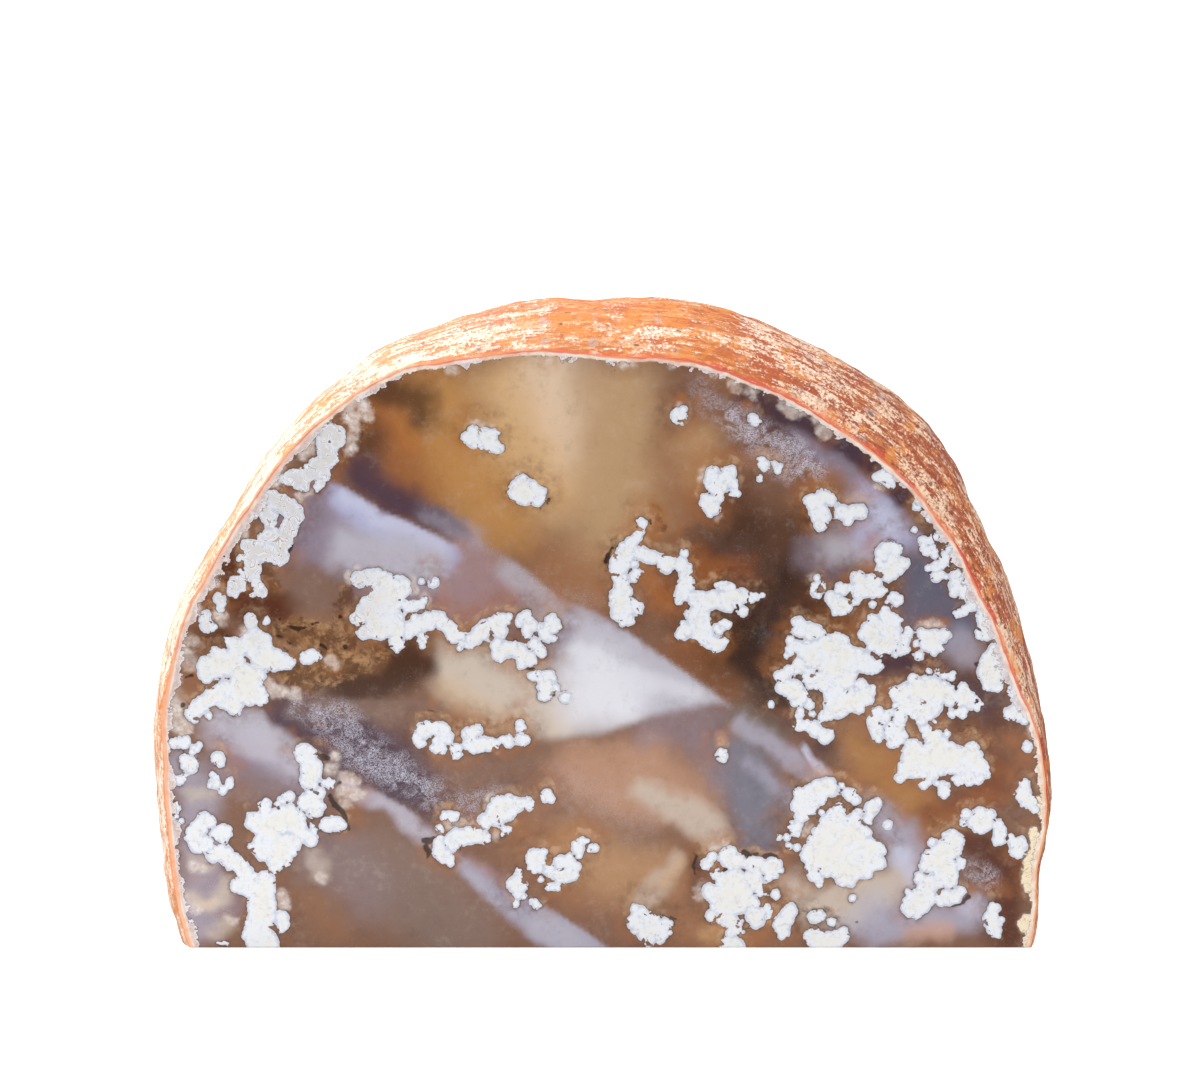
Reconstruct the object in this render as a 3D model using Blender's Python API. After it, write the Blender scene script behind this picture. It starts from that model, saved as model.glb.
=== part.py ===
"""A polished half of a plume agate nodule, standing on its sawn base.

One natural stone: a rounded nodule sawn through and polished on one side,
with a second flat sawn square to it underneath so that the face stands up.
The polished face looks towards -Y, +X is to its right, +Z is up, and the
sawn base lies in the plane z = 0.
"""
import math

import bmesh
import bpy
from mathutils import Matrix, Vector, noise

# ---- driving dimensions (metres, unless a name says otherwise) ------------
DEPTH = 0.060           # polished face to the back of the stone
CENTRE_X = 0.0001       # the outline is measured from this point of the face,
CENTRE_Z = 0.027        # which lies this far above the sawn base
ROUNDNESS = 2.3         # 2 is an ellipsoid, more is a boxier back
FLARE_RISE = 0.8        # how fast the rind swells out behind the face
FLARE_FALL = 2.0        # and how fast it comes back in towards the rear
LUMP = 0.0012           # height of the broad lumps of the rind
LUMP_SIZE = 0.021       # and their width
BASE_SNAP = 0.0007      # points this close to the base plane are set on it

SEGMENTS = 96           # round the nodule
RINGS = 40              # front pole to back pole of the starting ball

# Radius of the polished face's rim, in millimetres, by angle in degrees
# (0 is to the right, 90 straight up), as measured round the stone.
RIM = (
    (-50, 80.5), (-30, 80.5), (-20, 79.5), (-10, 76.6), (0, 76.6), (10, 75.6),
    (20, 74.2), (30, 74.5), (40, 76.3), (50, 77.6), (60, 78.3), (70, 79.4),
    (80, 80.5), (88, 80.2), (97, 81.7), (106, 83.0), (115, 84.6), (125, 83.4),
    (135, 81.0), (145, 79.2), (155, 78.7), (165, 77.5), (175, 76.0),
    (185, 75.4), (193, 76.3), (201, 77.0), (215, 79.0), (235, 80.0),
    (260, 80.0), (285, 80.0),
)

# How far the rind stands out past the rim behind the face, in millimetres:
# the saw went through in front of the nodule's widest section.
FLARE = (
    (-40, 1.5), (-20, 1.5), (0, 2.0), (12, 2.6), (25, 5.0), (40, 7.2),
    (55, 8.8), (70, 8.2), (90, 6.8), (110, 3.7), (130, 1.9), (150, 2.0),
    (170, 3.1), (190, 3.3), (205, 3.8), (230, 3.0), (270, 2.0),
)


def round_table(table, degrees):
    """Smooth closed curve through a table of (angle, value)."""
    angle = (degrees + 90.0) % 360.0 - 90.0
    count = len(table)
    start = count - 1
    for index, (at, _value) in enumerate(table):
        if at <= angle:
            start = index
    if angle < table[0][0]:
        start = count - 1

    def entry(index):
        turns, place = divmod(index, count)
        return table[place][0] + 360.0 * turns, table[place][1]

    if angle < table[0][0]:
        start -= count
    (a0, v0), (a1, v1) = entry(start - 1), entry(start)
    (a2, v2), (a3, v3) = entry(start + 1), entry(start + 2)
    width = a2 - a1
    t = (angle - a1) / width
    slope1 = (v2 - v0) / (a2 - a0) * width
    slope2 = (v3 - v1) / (a3 - a1) * width
    return ((2 * t ** 3 - 3 * t ** 2 + 1) * v1 + (t ** 3 - 2 * t ** 2 + t) * slope1
            + (3 * t ** 2 - 2 * t ** 3) * v2 + (t ** 3 - t ** 2) * slope2)


def nodule_point(direction):
    """Where a direction of the unit half ball (y from 0 to 1) meets the rind."""
    angle = math.atan2(direction.z, direction.x)
    degrees = math.degrees(angle)
    sine = min(max(direction.y, 0.0), 1.0)
    cosine = math.sqrt(max(1.0 - sine * sine, 0.0))
    back = sine ** (2.0 / ROUNDNESS)
    inward = cosine ** (2.0 / ROUNDNESS)
    peak = FLARE_RISE / (FLARE_RISE + FLARE_FALL)
    swell = (back ** FLARE_RISE * (1.0 - back) ** FLARE_FALL
             / (peak ** FLARE_RISE * (1.0 - peak) ** FLARE_FALL))
    radius = 0.001 * (round_table(RIM, degrees) * inward
                      + round_table(FLARE, degrees) * swell)
    flat = Vector((math.cos(angle), 0.0, math.sin(angle)))
    point = Vector((CENTRE_X, -DEPTH / 2 + DEPTH * back, CENTRE_Z)) + flat * radius
    lump = noise.noise(point / LUMP_SIZE) + 0.35 * noise.noise(point / (0.5 * LUMP_SIZE))
    fade = min(back / 0.25, 1.0)
    outward = (flat * inward + Vector((0.0, back, 0.0))).normalized()
    return point + outward * (LUMP * lump * fade * fade * (3.0 - 2.0 * fade))


def clear_scene():
    for item in list(bpy.data.objects):
        bpy.data.objects.remove(item, do_unlink=True)


def stone_material():
    material = bpy.data.materials.new("agate")
    material.use_nodes = True
    shader = material.node_tree.nodes["Principled BSDF"]
    shader.inputs["Base Color"].default_value = (0.36, 0.25, 0.19, 1.0)
    shader.inputs["Roughness"].default_value = 0.3
    shader.inputs["Metallic"].default_value = 0.0
    material.diffuse_color = (0.60, 0.45, 0.36, 1.0)
    return material


def build_geode_half(collection):
    mesh = bpy.data.meshes.new("geode_half")
    bm = bmesh.new()
    # a ball with its poles front and back, so that one ring lies in the cut
    bmesh.ops.create_uvsphere(bm, u_segments=SEGMENTS, v_segments=RINGS, radius=1.0,
                              matrix=Matrix.Rotation(math.radians(90.0), 4, "X"))
    # saw it in half and keep the back; the saw cut becomes the polished face
    cut = bmesh.ops.bisect_plane(bm, geom=bm.verts[:] + bm.edges[:] + bm.faces[:],
                                 dist=1e-4, plane_co=(0, 0, 0), plane_no=(0, -1, 0),
                                 clear_outer=True)
    rim = [e for e in cut["geom_cut"] if isinstance(e, bmesh.types.BMEdge)]
    bmesh.ops.contextual_create(bm, geom=rim)
    for vert in bm.verts:
        vert.co = nodule_point(vert.co.normalized())
    # saw the base flat
    for vert in bm.verts:
        if abs(vert.co.z) < BASE_SNAP:
            vert.co.z = 0.0
    cut = bmesh.ops.bisect_plane(bm, geom=bm.verts[:] + bm.edges[:] + bm.faces[:],
                                 dist=1e-6, plane_co=(0, 0, 0), plane_no=(0, 0, -1),
                                 clear_outer=True)
    sole = [e for e in cut["geom_cut"] if isinstance(e, bmesh.types.BMEdge)]
    bmesh.ops.contextual_create(bm, geom=sole)
    bmesh.ops.remove_doubles(bm, verts=bm.verts[:], dist=2e-5)
    bmesh.ops.dissolve_degenerate(bm, edges=bm.edges[:], dist=2e-5)
    bmesh.ops.recalc_face_normals(bm, faces=bm.faces[:])
    bm.to_mesh(mesh)
    bm.free()
    mesh.materials.append(stone_material())
    stone = bpy.data.objects.new("geode_half", mesh)
    collection.objects.link(stone)
    mesh.shade_smooth()
    mesh.set_sharp_from_angle(angle=math.radians(35.0))
    return stone


def main():
    clear_scene()
    collection = bpy.data.collections.new("geode half")
    bpy.context.scene.collection.children.link(collection)
    build_geode_half(collection)


main()
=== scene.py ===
"""The looks of a polished half of a plume agate nodule.

One natural stone: a closed mesh with a polished face towards -Y, a rough
natural rind over its top, sides and back, and a sawn base. The white plumes,
cloudy bands and mossy halos of the face were drawn on a sheet whose
units run across and down, and are kept as chains of round lobes and as soft
strokes of a few named colours. Their fine grain comes from the material.
"""
import math

import bmesh
import bpy
import numpy as np
from mathutils import Matrix, Vector, geometry, noise


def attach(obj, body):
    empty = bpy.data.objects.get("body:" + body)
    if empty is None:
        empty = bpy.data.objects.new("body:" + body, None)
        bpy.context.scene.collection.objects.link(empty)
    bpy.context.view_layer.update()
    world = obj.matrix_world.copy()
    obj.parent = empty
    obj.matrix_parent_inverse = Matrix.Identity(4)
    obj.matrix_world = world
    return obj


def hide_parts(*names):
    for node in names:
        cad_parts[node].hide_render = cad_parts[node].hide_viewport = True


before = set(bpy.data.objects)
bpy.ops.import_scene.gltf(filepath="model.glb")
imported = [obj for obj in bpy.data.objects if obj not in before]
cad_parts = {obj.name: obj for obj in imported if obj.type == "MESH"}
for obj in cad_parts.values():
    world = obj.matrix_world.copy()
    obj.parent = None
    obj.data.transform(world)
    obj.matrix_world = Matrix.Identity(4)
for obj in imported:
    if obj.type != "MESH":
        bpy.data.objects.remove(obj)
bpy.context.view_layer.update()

# ---- the stone's shape (metres, unless a name says otherwise) --------------
DEPTH = 0.060
FACE_Y = -DEPTH / 2
CENTRE_X = 0.0001
CENTRE_Z = 0.027
ROUNDNESS = 2.3
FLARE_RISE = 0.8
FLARE_FALL = 2.0
LUMP = 0.0012
LUMP_SIZE = 0.021
RIM = (
    (-50, 80.5), (-30, 80.5), (-20, 79.5), (-10, 76.6), (0, 76.6), (10, 75.6),
    (20, 74.2), (30, 74.5), (40, 76.3), (50, 77.6), (60, 78.3), (70, 79.4),
    (80, 80.5), (88, 80.2), (97, 81.7), (106, 83.0), (115, 84.6), (125, 83.4),
    (135, 81.0), (145, 79.2), (155, 78.7), (165, 77.5), (175, 76.0),
    (185, 75.4), (193, 76.3), (201, 77.0), (215, 79.0), (235, 80.0),
    (260, 80.0), (285, 80.0),
)
FLARE = (
    (-40, 1.5), (-20, 1.5), (0, 2.0), (12, 2.6), (25, 5.0), (40, 7.2),
    (55, 8.8), (70, 8.2), (90, 6.8), (110, 3.7), (130, 1.9), (150, 2.0),
    (170, 3.1), (190, 3.3), (205, 3.8), (230, 3.0), (270, 2.0),
)
RIND_CELLS = 196        # cells along a side of the rind's square net
EDGE = 0.00022          # width of the worn edge round the polished face
COARSE = 0.00072        # spacing of the face's points in plain areas
FINE = 0.00034          # and along the edges of plumes

# ---- the camera, and the drawing sheet that it looks at --------------------
ELEVATION = math.radians(18.0)
DISTANCE = 0.674
LENS = 120.0
TARGET = Vector((-0.0004, FACE_Y, 0.07476))
SHEET_WIDTH, SHEET_HEIGHT = 1200, 1080
UNITS = SHEET_WIDTH * LENS / 36.0       # drawing units per unit of tangent
UNIT_MM = 0.1685                        # size of a drawing unit on the face

# White plumes: chains of round lobes, (across, down, radius) on the drawing.
WHITE = [
    # upper left border
    [(325, 433, 7), (323, 445, 6), (326, 455, 8), (333, 458, 6)],
    [(330, 430, 6), (337, 437, 8), (336, 443, 6)],
    [(325, 462, 8), (314, 471, 9), (308, 474, 7)],
    [(325, 475, 5), (322, 482, 4), (317, 488, 4)],
    [(288, 477, 6), (296, 477, 8), (303, 484, 6)],
    [(270, 497, 6), (282, 503, 8), (293, 511, 8), (298, 520, 4)],
    [(262, 505, 5), (268, 515, 7), (272, 524, 4)],
    [(254, 515, 4)],
    [(290, 522, 8), (286, 535, 8), (281, 546, 8), (280, 560, 6)],
    [(263, 537, 4), (271, 535, 6), (280, 541, 6)],
    [(248, 547, 7), (258, 552, 9), (270, 553, 8)],
    [(243, 557, 5), (252, 560, 7), (256, 568, 5), (248, 575, 7), (242, 572, 4)],
    [(255, 578, 4), (259, 588, 4), (264, 596, 3)],
    [(237, 585, 8), (234, 590, 6), (242, 586, 5)],
    [(252, 595, 3)],
    [(220, 597, 4), (221, 607, 4)],
    [(205, 617, 6), (207, 625, 6), (214, 628, 3)],
    [(251, 621, 6)],
    [(266, 622, 3.5)],
    # the big mass at the left
    [(206, 664, 8), (206, 676, 7), (214, 666, 10), (218, 655, 8)],
    [(218, 668, 10), (232, 662, 10), (240, 650, 8), (256, 638, 9), (263, 643, 9)],
    [(228, 640, 4), (236, 647, 6)],
    [(262, 655, 14), (275, 660, 9), (287, 663, 6)],
    [(250, 676, 14), (240, 690, 13), (255, 695, 10), (261, 698, 7)],
    [(240, 672, 9)],
    [(225, 690, 9), (212, 698, 8), (200, 707, 7), (191, 714, 6), (196, 718, 4)],
    [(209, 716, 3)],
    [(225, 700, 8), (234, 706, 8), (236, 713, 4)],
    [(305, 659, 5), (311, 655, 5), (316, 656, 4)],
    # lower left
    [(310, 752, 6), (302, 752, 7), (309, 762, 8), (313, 769, 9), (309, 778, 9), (312, 783, 5)],
    [(325, 783, 4), (331, 783, 4)],
    [(264, 803, 5), (265, 812, 5)],
    [(278, 803, 4), (284, 799, 3), (290, 797, 3.5)],
    [(252, 820, 7), (262, 826, 10), (275, 822, 12), (290, 818, 12), (300, 824, 12), (308, 835, 9), (312, 839, 6)],
    [(268, 838, 12), (275, 850, 13), (285, 848, 12), (293, 842, 9)],
    [(260, 848, 8), (265, 853, 8)],
    [(275, 865, 7), (275, 871, 3)],
    [(286, 861, 6)],
    [(305, 803, 7), (314, 798, 8), (322, 792, 4)],
    [(318, 806, 6), (314, 812, 6)],
    [(325, 826, 6), (334, 823, 7), (341, 825, 6)],
    [(251, 847, 3.5)],
    [(206, 819, 6), (200, 826, 8), (195, 834, 8), (195, 842, 7), (201, 849, 5), (207, 843, 6)],
    [(209, 822, 5)],
    [(216, 833, 6), (224, 831, 7), (222, 838, 5)],
    [(212, 855, 6), (220, 852, 7), (228, 858, 8), (238, 864, 8), (246, 873, 7)],
    [(243, 880, 9), (240, 887, 7), (250, 886, 11), (262, 886, 12), (266, 880, 8)],
    [(262, 900, 12), (262, 915, 12), (258, 930, 13), (262, 944, 15)],
    [(247, 934, 5)],
    [(281, 914, 4), (283, 925, 6)],
    [(218, 943, 2.5), (226, 943, 3)],
    # left edge dots
    [(174, 743, 4), (185, 742, 5)],
    [(194, 752, 3), (198, 746, 3.5)],
    [(186, 760, 6), (191, 766, 7)],
    [(218, 758, 5), (218, 762, 4)],
    [(172, 780, 4), (184, 779, 4)],
    [(213, 776, 4), (217, 778, 3)],
    [(211, 784, 3.5), (216, 783, 3.5)],
    [(223, 790, 4.5)],
    [(230, 782, 4), (231, 787, 3)],
    [(176, 805, 4), (173, 818, 5)],
    [(178, 827, 3), (181, 822, 3)],
    [(174, 840, 3.5)],
    [(176, 856, 3.5)],
    # upper middle
    [(474, 429, 5), (468, 437, 5.5), (475, 442, 5), (481, 446, 4)],
    [(487, 437, 8), (494, 434, 5)],
    [(490, 444, 6), (497, 449, 5)],
    [(522, 487, 10), (517, 491, 9), (525, 496, 9), (532, 491, 8)],
    [(540, 489, 4.5), (543, 496, 4), (538, 502, 3.5)],
    [(676, 415, 6), (681, 413, 5.5), (683, 419, 4), (675, 420, 4)],
    [(753, 417, 4.5), (757, 421, 3.5)],
    [(763, 463, 5), (765, 466, 4)],
    [(776, 465, 3.5), (779, 469, 4)],
    [(760, 478, 3.2)],
    [(712, 473, 6), (711, 482, 6), (711, 488, 4)],
    [(730, 473, 6), (724, 479, 7), (718, 486, 8), (718, 496, 6)],
    [(731, 481, 5), (735, 487, 4), (735, 493, 4), (732, 497, 3)],
    [(707, 501, 7), (711, 507, 7.5), (710, 512, 5)],
    [(811, 503, 6), (818, 500, 7), (825, 496, 6), (829, 500, 5)],
    [(817, 510, 8), (822, 517, 8), (820, 524, 5)],
    [(842, 513, 6), (850, 513, 6), (859, 511, 6), (864, 514, 3.5)],
    [(848, 522, 4)],
    [(914, 530, 3)],
    # the arch in the middle
    [(640, 520, 4), (643, 525, 5)],
    [(641, 530, 3.5), (636, 537, 3.5), (631, 544, 5)],
    [(628, 549, 7), (623, 558, 9), (619, 567, 8), (618, 575, 5), (622, 583, 6), (623, 592, 8)],
    [(638, 552, 6), (650, 557, 4.5), (660, 559, 5), (670, 561, 5), (679, 563, 6), (686, 569, 5)],
    [(665, 565, 6), (669, 570, 3)],
    [(684, 553, 4.5)],
    [(634, 564, 4)],
    [(637, 575, 6), (634, 577, 5)],
    [(619, 598, 8.5), (622, 607, 10), (620, 615, 7), (625, 620, 5), (632, 620, 4)],
    [(636, 603, 4.5), (637, 610, 5)],
    [(688, 575, 6), (686, 584, 6.5), (683, 592, 7), (679, 598, 5)],
    [(695, 598, 7), (705, 602, 8), (715, 600, 9), (725, 600, 8), (733, 597, 7)],
    [(718, 585, 3.5), (724, 586, 4.5), (731, 588, 4)],
    [(737, 596, 6.5), (746, 597, 5.5), (754, 597, 4.5), (761, 596, 3)],
    [(739, 603, 3)],
    [(725, 607, 4), (732, 606, 3)],
    [(701, 611, 8), (699, 621, 11), (702, 632, 11), (708, 640, 7), (716, 645, 6), (721, 643, 5), (726, 641, 2.5)],
    [(690, 614, 4.5)],
    [(685, 629, 7), (683, 634, 5)],
    [(683, 623, 2.5)],
    [(718, 628, 4.5), (723, 626, 5.5), (728, 625, 3)],
    [(743, 611, 3.5), (747, 613, 3)],
    [(771, 705, 3.2)],
    [(722, 753, 5), (724, 761, 3)],
    # middle left
    [(358, 580, 6), (368, 577, 7), (380, 579, 8), (390, 584, 9)],
    [(354, 617, 4), (360, 618, 6)],
    [(372, 611, 14), (385, 601, 16), (393, 591, 9)],
    [(378, 626, 13), (390, 622, 13), (398, 630, 8)],
    [(365, 631, 6), (363, 637, 3)],
    [(397, 640, 7), (397, 648, 4)],
    [(399, 594, 7), (405, 588, 6)],
    [(398, 576, 3), (404, 582, 3.5)],
    [(404, 604, 4.5), (413, 607, 4.5), (421, 604, 4.5), (425, 599, 3)],
    [(410, 630, 7), (422, 624, 7.5), (432, 620, 7), (438, 618, 5), (446, 625, 6.5), (453, 632, 7), (459, 638, 5.5), (462, 641, 3.5)],
    [(459, 648, 2.5)],
    [(423, 639, 5), (421, 645, 3)],
    [(414, 619, 3)],
    [(421, 581, 2.8)],
    [(434, 582, 4.2)],
    [(470, 642, 5.5), (478, 635, 6.5), (486, 628, 7), (495, 624, 8), (503, 620, 5.5), (508, 619, 3)],
    [(499, 631, 6), (503, 635, 3.5)],
    [(497, 643, 4.5), (499, 652, 7), (501, 659, 4)],
    [(507, 649, 7.5), (515, 648, 6.5), (522, 656, 7.5), (530, 660, 6), (535, 662, 3.5)],
    [(521, 665, 4.5)],
    [(519, 620, 5), (527, 618, 5.5), (530, 625, 5.5), (527, 632, 4.5), (528, 637, 3)],
    [(552, 620, 5.5), (557, 627, 4.5), (548, 628, 6.5), (541, 629, 4), (547, 637, 4.5), (553, 639, 2.5)],
    [(534, 645, 5), (538, 650, 5), (543, 655, 3)],
    [(534, 676, 5), (543, 677, 5.5), (552, 676, 4)],
    [(545, 686, 7.5), (552, 689, 5), (544, 696, 4.5)],
    [(565, 696, 4.5)],
    [(419, 737, 5), (424, 730, 6), (433, 728, 6), (441, 730, 7), (447, 737, 6)],
    [(438, 744, 6), (441, 751, 5)],
    [(433, 748, 3.5)],
    [(456, 747, 4.5), (456, 755, 4.5)],
    [(421, 742, 3.5)],
    [(469, 734, 6), (475, 731, 5), (480, 731, 2)],
    [(470, 743, 7), (478, 746, 7), (486, 744, 5), (493, 744, 5), (496, 747, 3)],
    [(502, 741, 4), (508, 741, 4.5), (513, 741, 2.5)],
    [(520, 723, 3), (520, 729, 4.5)],
    [(521, 740, 4.5), (525, 738, 4)],
    # lower middle
    [(444, 817, 4), (450, 816, 4.5), (456, 817, 3.5)],
    [(440, 829, 4)],
    [(440, 838, 4), (440, 846, 5.5), (441, 853, 6), (447, 858, 5.5), (452, 861, 4.5)],
    [(450, 841, 6), (454, 846, 4)],
    [(455, 836, 6), (464, 836, 7.5), (472, 834, 7), (480, 835, 6.5), (486, 840, 4.5)],
    [(486, 820, 5.5), (488, 825, 3.5), (494, 813, 8), (502, 805, 9), (510, 804, 8), (520, 805, 5.5), (528, 803, 5), (532, 803, 3.5)],
    [(505, 815, 5.5), (497, 820, 4.5)],
    [(513, 812, 4.5)],
    [(547, 796, 5.5), (549, 799, 4)],
    [(502, 836, 3), (505, 831, 3.5), (509, 828, 2.5)],
    [(533, 857, 7), (540, 855, 5), (532, 865, 5.5), (538, 868, 5), (543, 853, 3)],
    [(548, 870, 5), (555, 876, 5.5), (565, 875, 8), (573, 874, 6)],
    [(560, 863, 6.5), (568, 862, 6), (575, 867, 5)],
    [(577, 849, 5), (580, 843, 4), (586, 841, 3.5)],
    [(579, 856, 3)],
    [(589, 850, 2.8), (594, 848, 4)],
    [(550, 886, 2.8), (557, 887, 4)],
    [(519, 871, 3), (518, 878, 5), (514, 886, 6), (521, 887, 6), (517, 892, 4.5), (523, 896, 2.5)],
    [(531, 901, 3.5), (537, 904, 3.5), (541, 906, 2)],
    [(517, 904, 2.5), (513, 904, 2)],
    [(541, 880, 2)],
    [(635, 908, 4.2)],
    [(643, 915, 5.5), (635, 921, 7), (639, 928, 6)],
    [(650, 920, 8.5), (655, 928, 10), (646, 934, 7), (650, 941, 5)],
    [(662, 926, 7), (669, 924, 4)],
    [(665, 933, 5), (660, 940, 4)],
    [(728, 855, 8), (732, 862, 8), (738, 861, 6)],
    [(749, 863, 6), (755, 862, 6), (760, 866, 5)],
    [(769, 869, 7.5), (773, 866, 7), (769, 876, 3.5), (778, 869, 4.5)],
    [(752, 875, 7), (757, 884, 7), (761, 892, 5)],
    [(723, 881, 8), (735, 880, 10), (740, 891, 12), (728, 895, 13), (716, 895, 9), (709, 891, 6)],
    [(720, 905, 9), (735, 905, 10), (747, 900, 6), (755, 903, 4)],
    [(712, 916, 5), (722, 918, 6), (730, 920, 8), (735, 927, 6), (732, 932, 4), (741, 932, 3)],
    [(716, 870, 4), (717, 875, 4)],
    [(724, 875, 2.3)],
    [(711, 857, 4), (707, 864, 3.5), (704, 868, 3)],
    [(776, 896, 3.8)],
    [(767, 906, 3.5), (770, 911, 4), (769, 917, 3)],
    [(753, 915, 7.5), (757, 919, 7.5), (760, 912, 5)],
    [(790, 910, 5.5), (786, 917, 7), (781, 925, 8), (783, 932, 5)],
    [(725, 946, 6), (733, 944, 8), (740, 946, 5)],
    [(815, 918, 5.5), (822, 916, 3.5)],
    [(832, 922, 3.8)],
    [(812, 936, 8), (822, 943, 10), (833, 941, 9), (843, 934, 7)],
    # the great plume right of centre
    [(799, 623, 5.5), (800, 629, 6)],
    [(811, 632, 8), (820, 633, 5)],
    [(790, 639, 3)],
    [(795, 645, 6), (790, 650, 5), (786, 655, 3)],
    [(805, 650, 8), (815, 655, 12), (828, 648, 13), (838, 642, 9)],
    [(800, 666, 7), (791, 670, 4), (786, 669, 3)],
    [(781, 676, 5.5), (786, 674, 4)],
    [(784, 686, 7), (794, 690, 9), (800, 697, 8), (795, 702, 3.5)],
    [(812, 677, 10), (825, 680, 13), (832, 665, 14), (845, 655, 12), (856, 660, 10)],
    [(862, 662, 9), (873, 667, 7), (879, 664, 4)],
    [(845, 676, 11), (838, 695, 12), (852, 700, 12), (864, 696, 9), (872, 690, 5)],
    [(858, 706, 7)],
    [(862, 685, 6)],
    [(832, 706, 8), (840, 712, 6), (828, 714, 6), (821, 719, 4)],
    [(807, 695, 2.8)],
    [(809, 701, 2.4)],
    [(808, 706, 3.3)],
    [(800, 713, 5), (797, 716, 4)],
    [(799, 724, 5.5)],
    [(808, 725, 5), (814, 730, 5.5), (821, 733, 5)],
    [(829, 732, 4.5), (825, 738, 4.5)],
    [(813, 714, 2.5)],
    # upper right
    [(880, 477, 5), (888, 474, 7), (889, 483, 5.5)],
    [(918, 505, 4.5), (916, 509, 3)],
    [(929, 519, 3.5)],
    [(922, 538, 3.5), (929, 541, 4), (936, 537, 4)],
    [(923, 546, 4), (924, 553, 3), (931, 549, 5), (934, 555, 4)],
    [(896, 549, 6), (889, 547, 6), (883, 553, 6), (882, 564, 6), (889, 572, 8), (898, 565, 7), (905, 562, 4.5)],
    [(893, 560, 6)],
    [(951, 547, 3.5), (946, 555, 4), (942, 562, 4.5), (938, 567, 5), (931, 568, 4)],
    [(938, 576, 5)],
    [(946, 577, 2.5)],
    [(957, 577, 5.5), (956, 586, 6), (953, 595, 3.5)],
    [(964, 590, 6), (971, 598, 6)],
    [(977, 602, 3), (970, 608, 4), (963, 612, 4.5), (958, 614, 4)],
    [(817, 578, 3.5)],
    [(814, 589, 5), (819, 587, 6), (817, 595, 4)],
    [(857, 578, 6), (863, 584, 6.5), (873, 578, 4), (878, 583, 3)],
    [(840, 588, 4), (850, 589, 5), (861, 591, 7), (872, 590, 6), (880, 593, 5), (884, 590, 3.5)],
    [(832, 598, 5), (838, 603, 8), (845, 606, 7), (835, 612, 3.5)],
    [(860, 600, 4), (854, 604, 3)],
    [(873, 604, 3.8)],
    [(887, 602, 2.4)],
    [(892, 597, 4), (897, 600, 5), (901, 604, 2.5)],
    [(884, 610, 4), (887, 618, 7), (895, 620, 6), (901, 620, 2.5)],
    [(875, 625, 8), (868, 634, 8), (875, 641, 9), (885, 645, 9), (894, 641, 7), (889, 630, 10)],
    [(900, 648, 7), (905, 649, 4.5), (904, 640, 4.5), (908, 632, 3.5), (908, 628, 3)],
    [(870, 618, 3)],
    [(878, 650, 4)],
    [(895, 655, 3)],
    [(925, 636, 7), (932, 640, 8), (938, 637, 6), (944, 636, 5)],
    [(925, 645, 5), (934, 647, 6), (940, 646, 4)],
    [(916, 644, 3.5)],
    [(934, 652, 4)],
    [(919, 655, 2.5)],
    [(985, 607, 5), (982, 616, 5.5), (985, 625, 7), (984, 633, 6.5), (991, 634, 5)],
    [(995, 652, 7), (990, 661, 8), (986, 672, 8), (993, 680, 10), (1002, 668, 7)],
    [(998, 686, 6), (989, 686, 4.5)],
    [(1013, 681, 3.5), (1013, 690, 4.5), (1013, 697, 3.5)],
    [(1019, 702, 5), (1017, 709, 5), (1010, 714, 4), (1020, 715, 5), (1023, 720, 3)],
    [(1028, 745, 4.5), (1029, 749, 3)],
    # right
    [(914, 680, 5), (920, 690, 12), (932, 692, 14), (944, 692, 10), (949, 698, 6.5)],
    [(893, 690, 4), (895, 697, 4.5), (904, 692, 7)],
    [(905, 705, 8), (915, 710, 9), (925, 712, 9), (935, 705, 8)],
    [(929, 671, 3)],
    [(938, 672, 3.2)],
    [(945, 676, 3.5), (952, 675, 4)],
    [(965, 690, 6.5), (962, 698, 7.5), (971, 700, 7), (978, 704, 4.5)],
    [(955, 713, 4.5), (961, 712, 5)],
    [(935, 722, 1.8)],
    [(920, 719, 4.5), (928, 717, 4)],
    [(878, 711, 5), (874, 720, 5.5), (876, 730, 5.5), (877, 737, 4.5)],
    [(885, 718, 5), (890, 712, 3)],
    [(898, 705, 4.5), (902, 714, 6), (898, 725, 5.5), (890, 732, 6), (895, 741, 6), (903, 735, 5)],
    [(926, 730, 4)],
    [(930, 736, 8), (938, 745, 11)],
    [(914, 749, 9), (912, 760, 9), (906, 770, 7), (899, 778, 3.5)],
    [(930, 760, 15), (950, 759, 15), (970, 761, 13), (981, 768, 7), (979, 776, 4)],
    [(972, 750, 8)],
    [(920, 770, 9), (938, 772, 7)],
    [(924, 784, 5.5)],
    [(945, 791, 6), (943, 786, 5)],
    [(957, 780, 5), (962, 784, 3)],
    [(968, 778, 6), (978, 780, 3.5)],
    [(947, 734, 3)],
    [(986, 775, 4), (988, 766, 3)],
    [(937, 783, 2.8)],
    # lower right
    [(800, 795, 7), (808, 795, 7), (818, 790, 8), (829, 787, 8)],
    [(800, 805, 8), (810, 805, 9), (803, 814, 7), (800, 819, 4.5)],
    [(820, 800, 6)],
    [(822, 812, 3)],
    [(795, 825, 5), (797, 833, 4.5), (790, 826, 2.8)],
    [(779, 837, 2.8)],
    [(787, 836, 3.2)],
    [(789, 846, 3.2)],
    [(797, 847, 3.6)],
    [(842, 785, 3)],
    [(850, 795, 6), (855, 798, 4.5)],
    [(855, 820, 6), (857, 814, 4)],
    [(872, 808, 6), (875, 803, 4.5), (869, 815, 4), (868, 822, 3)],
    [(812, 850, 8), (822, 840, 11), (832, 822, 10), (838, 812, 7)],
    [(840, 824, 11), (846, 832, 13), (856, 836, 11), (863, 832, 6)],
    [(806, 855, 5), (815, 862, 9), (830, 855, 14), (845, 850, 18), (866, 850, 11), (880, 850, 6)],
    [(848, 868, 13), (865, 863, 11), (878, 862, 6)],
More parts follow.
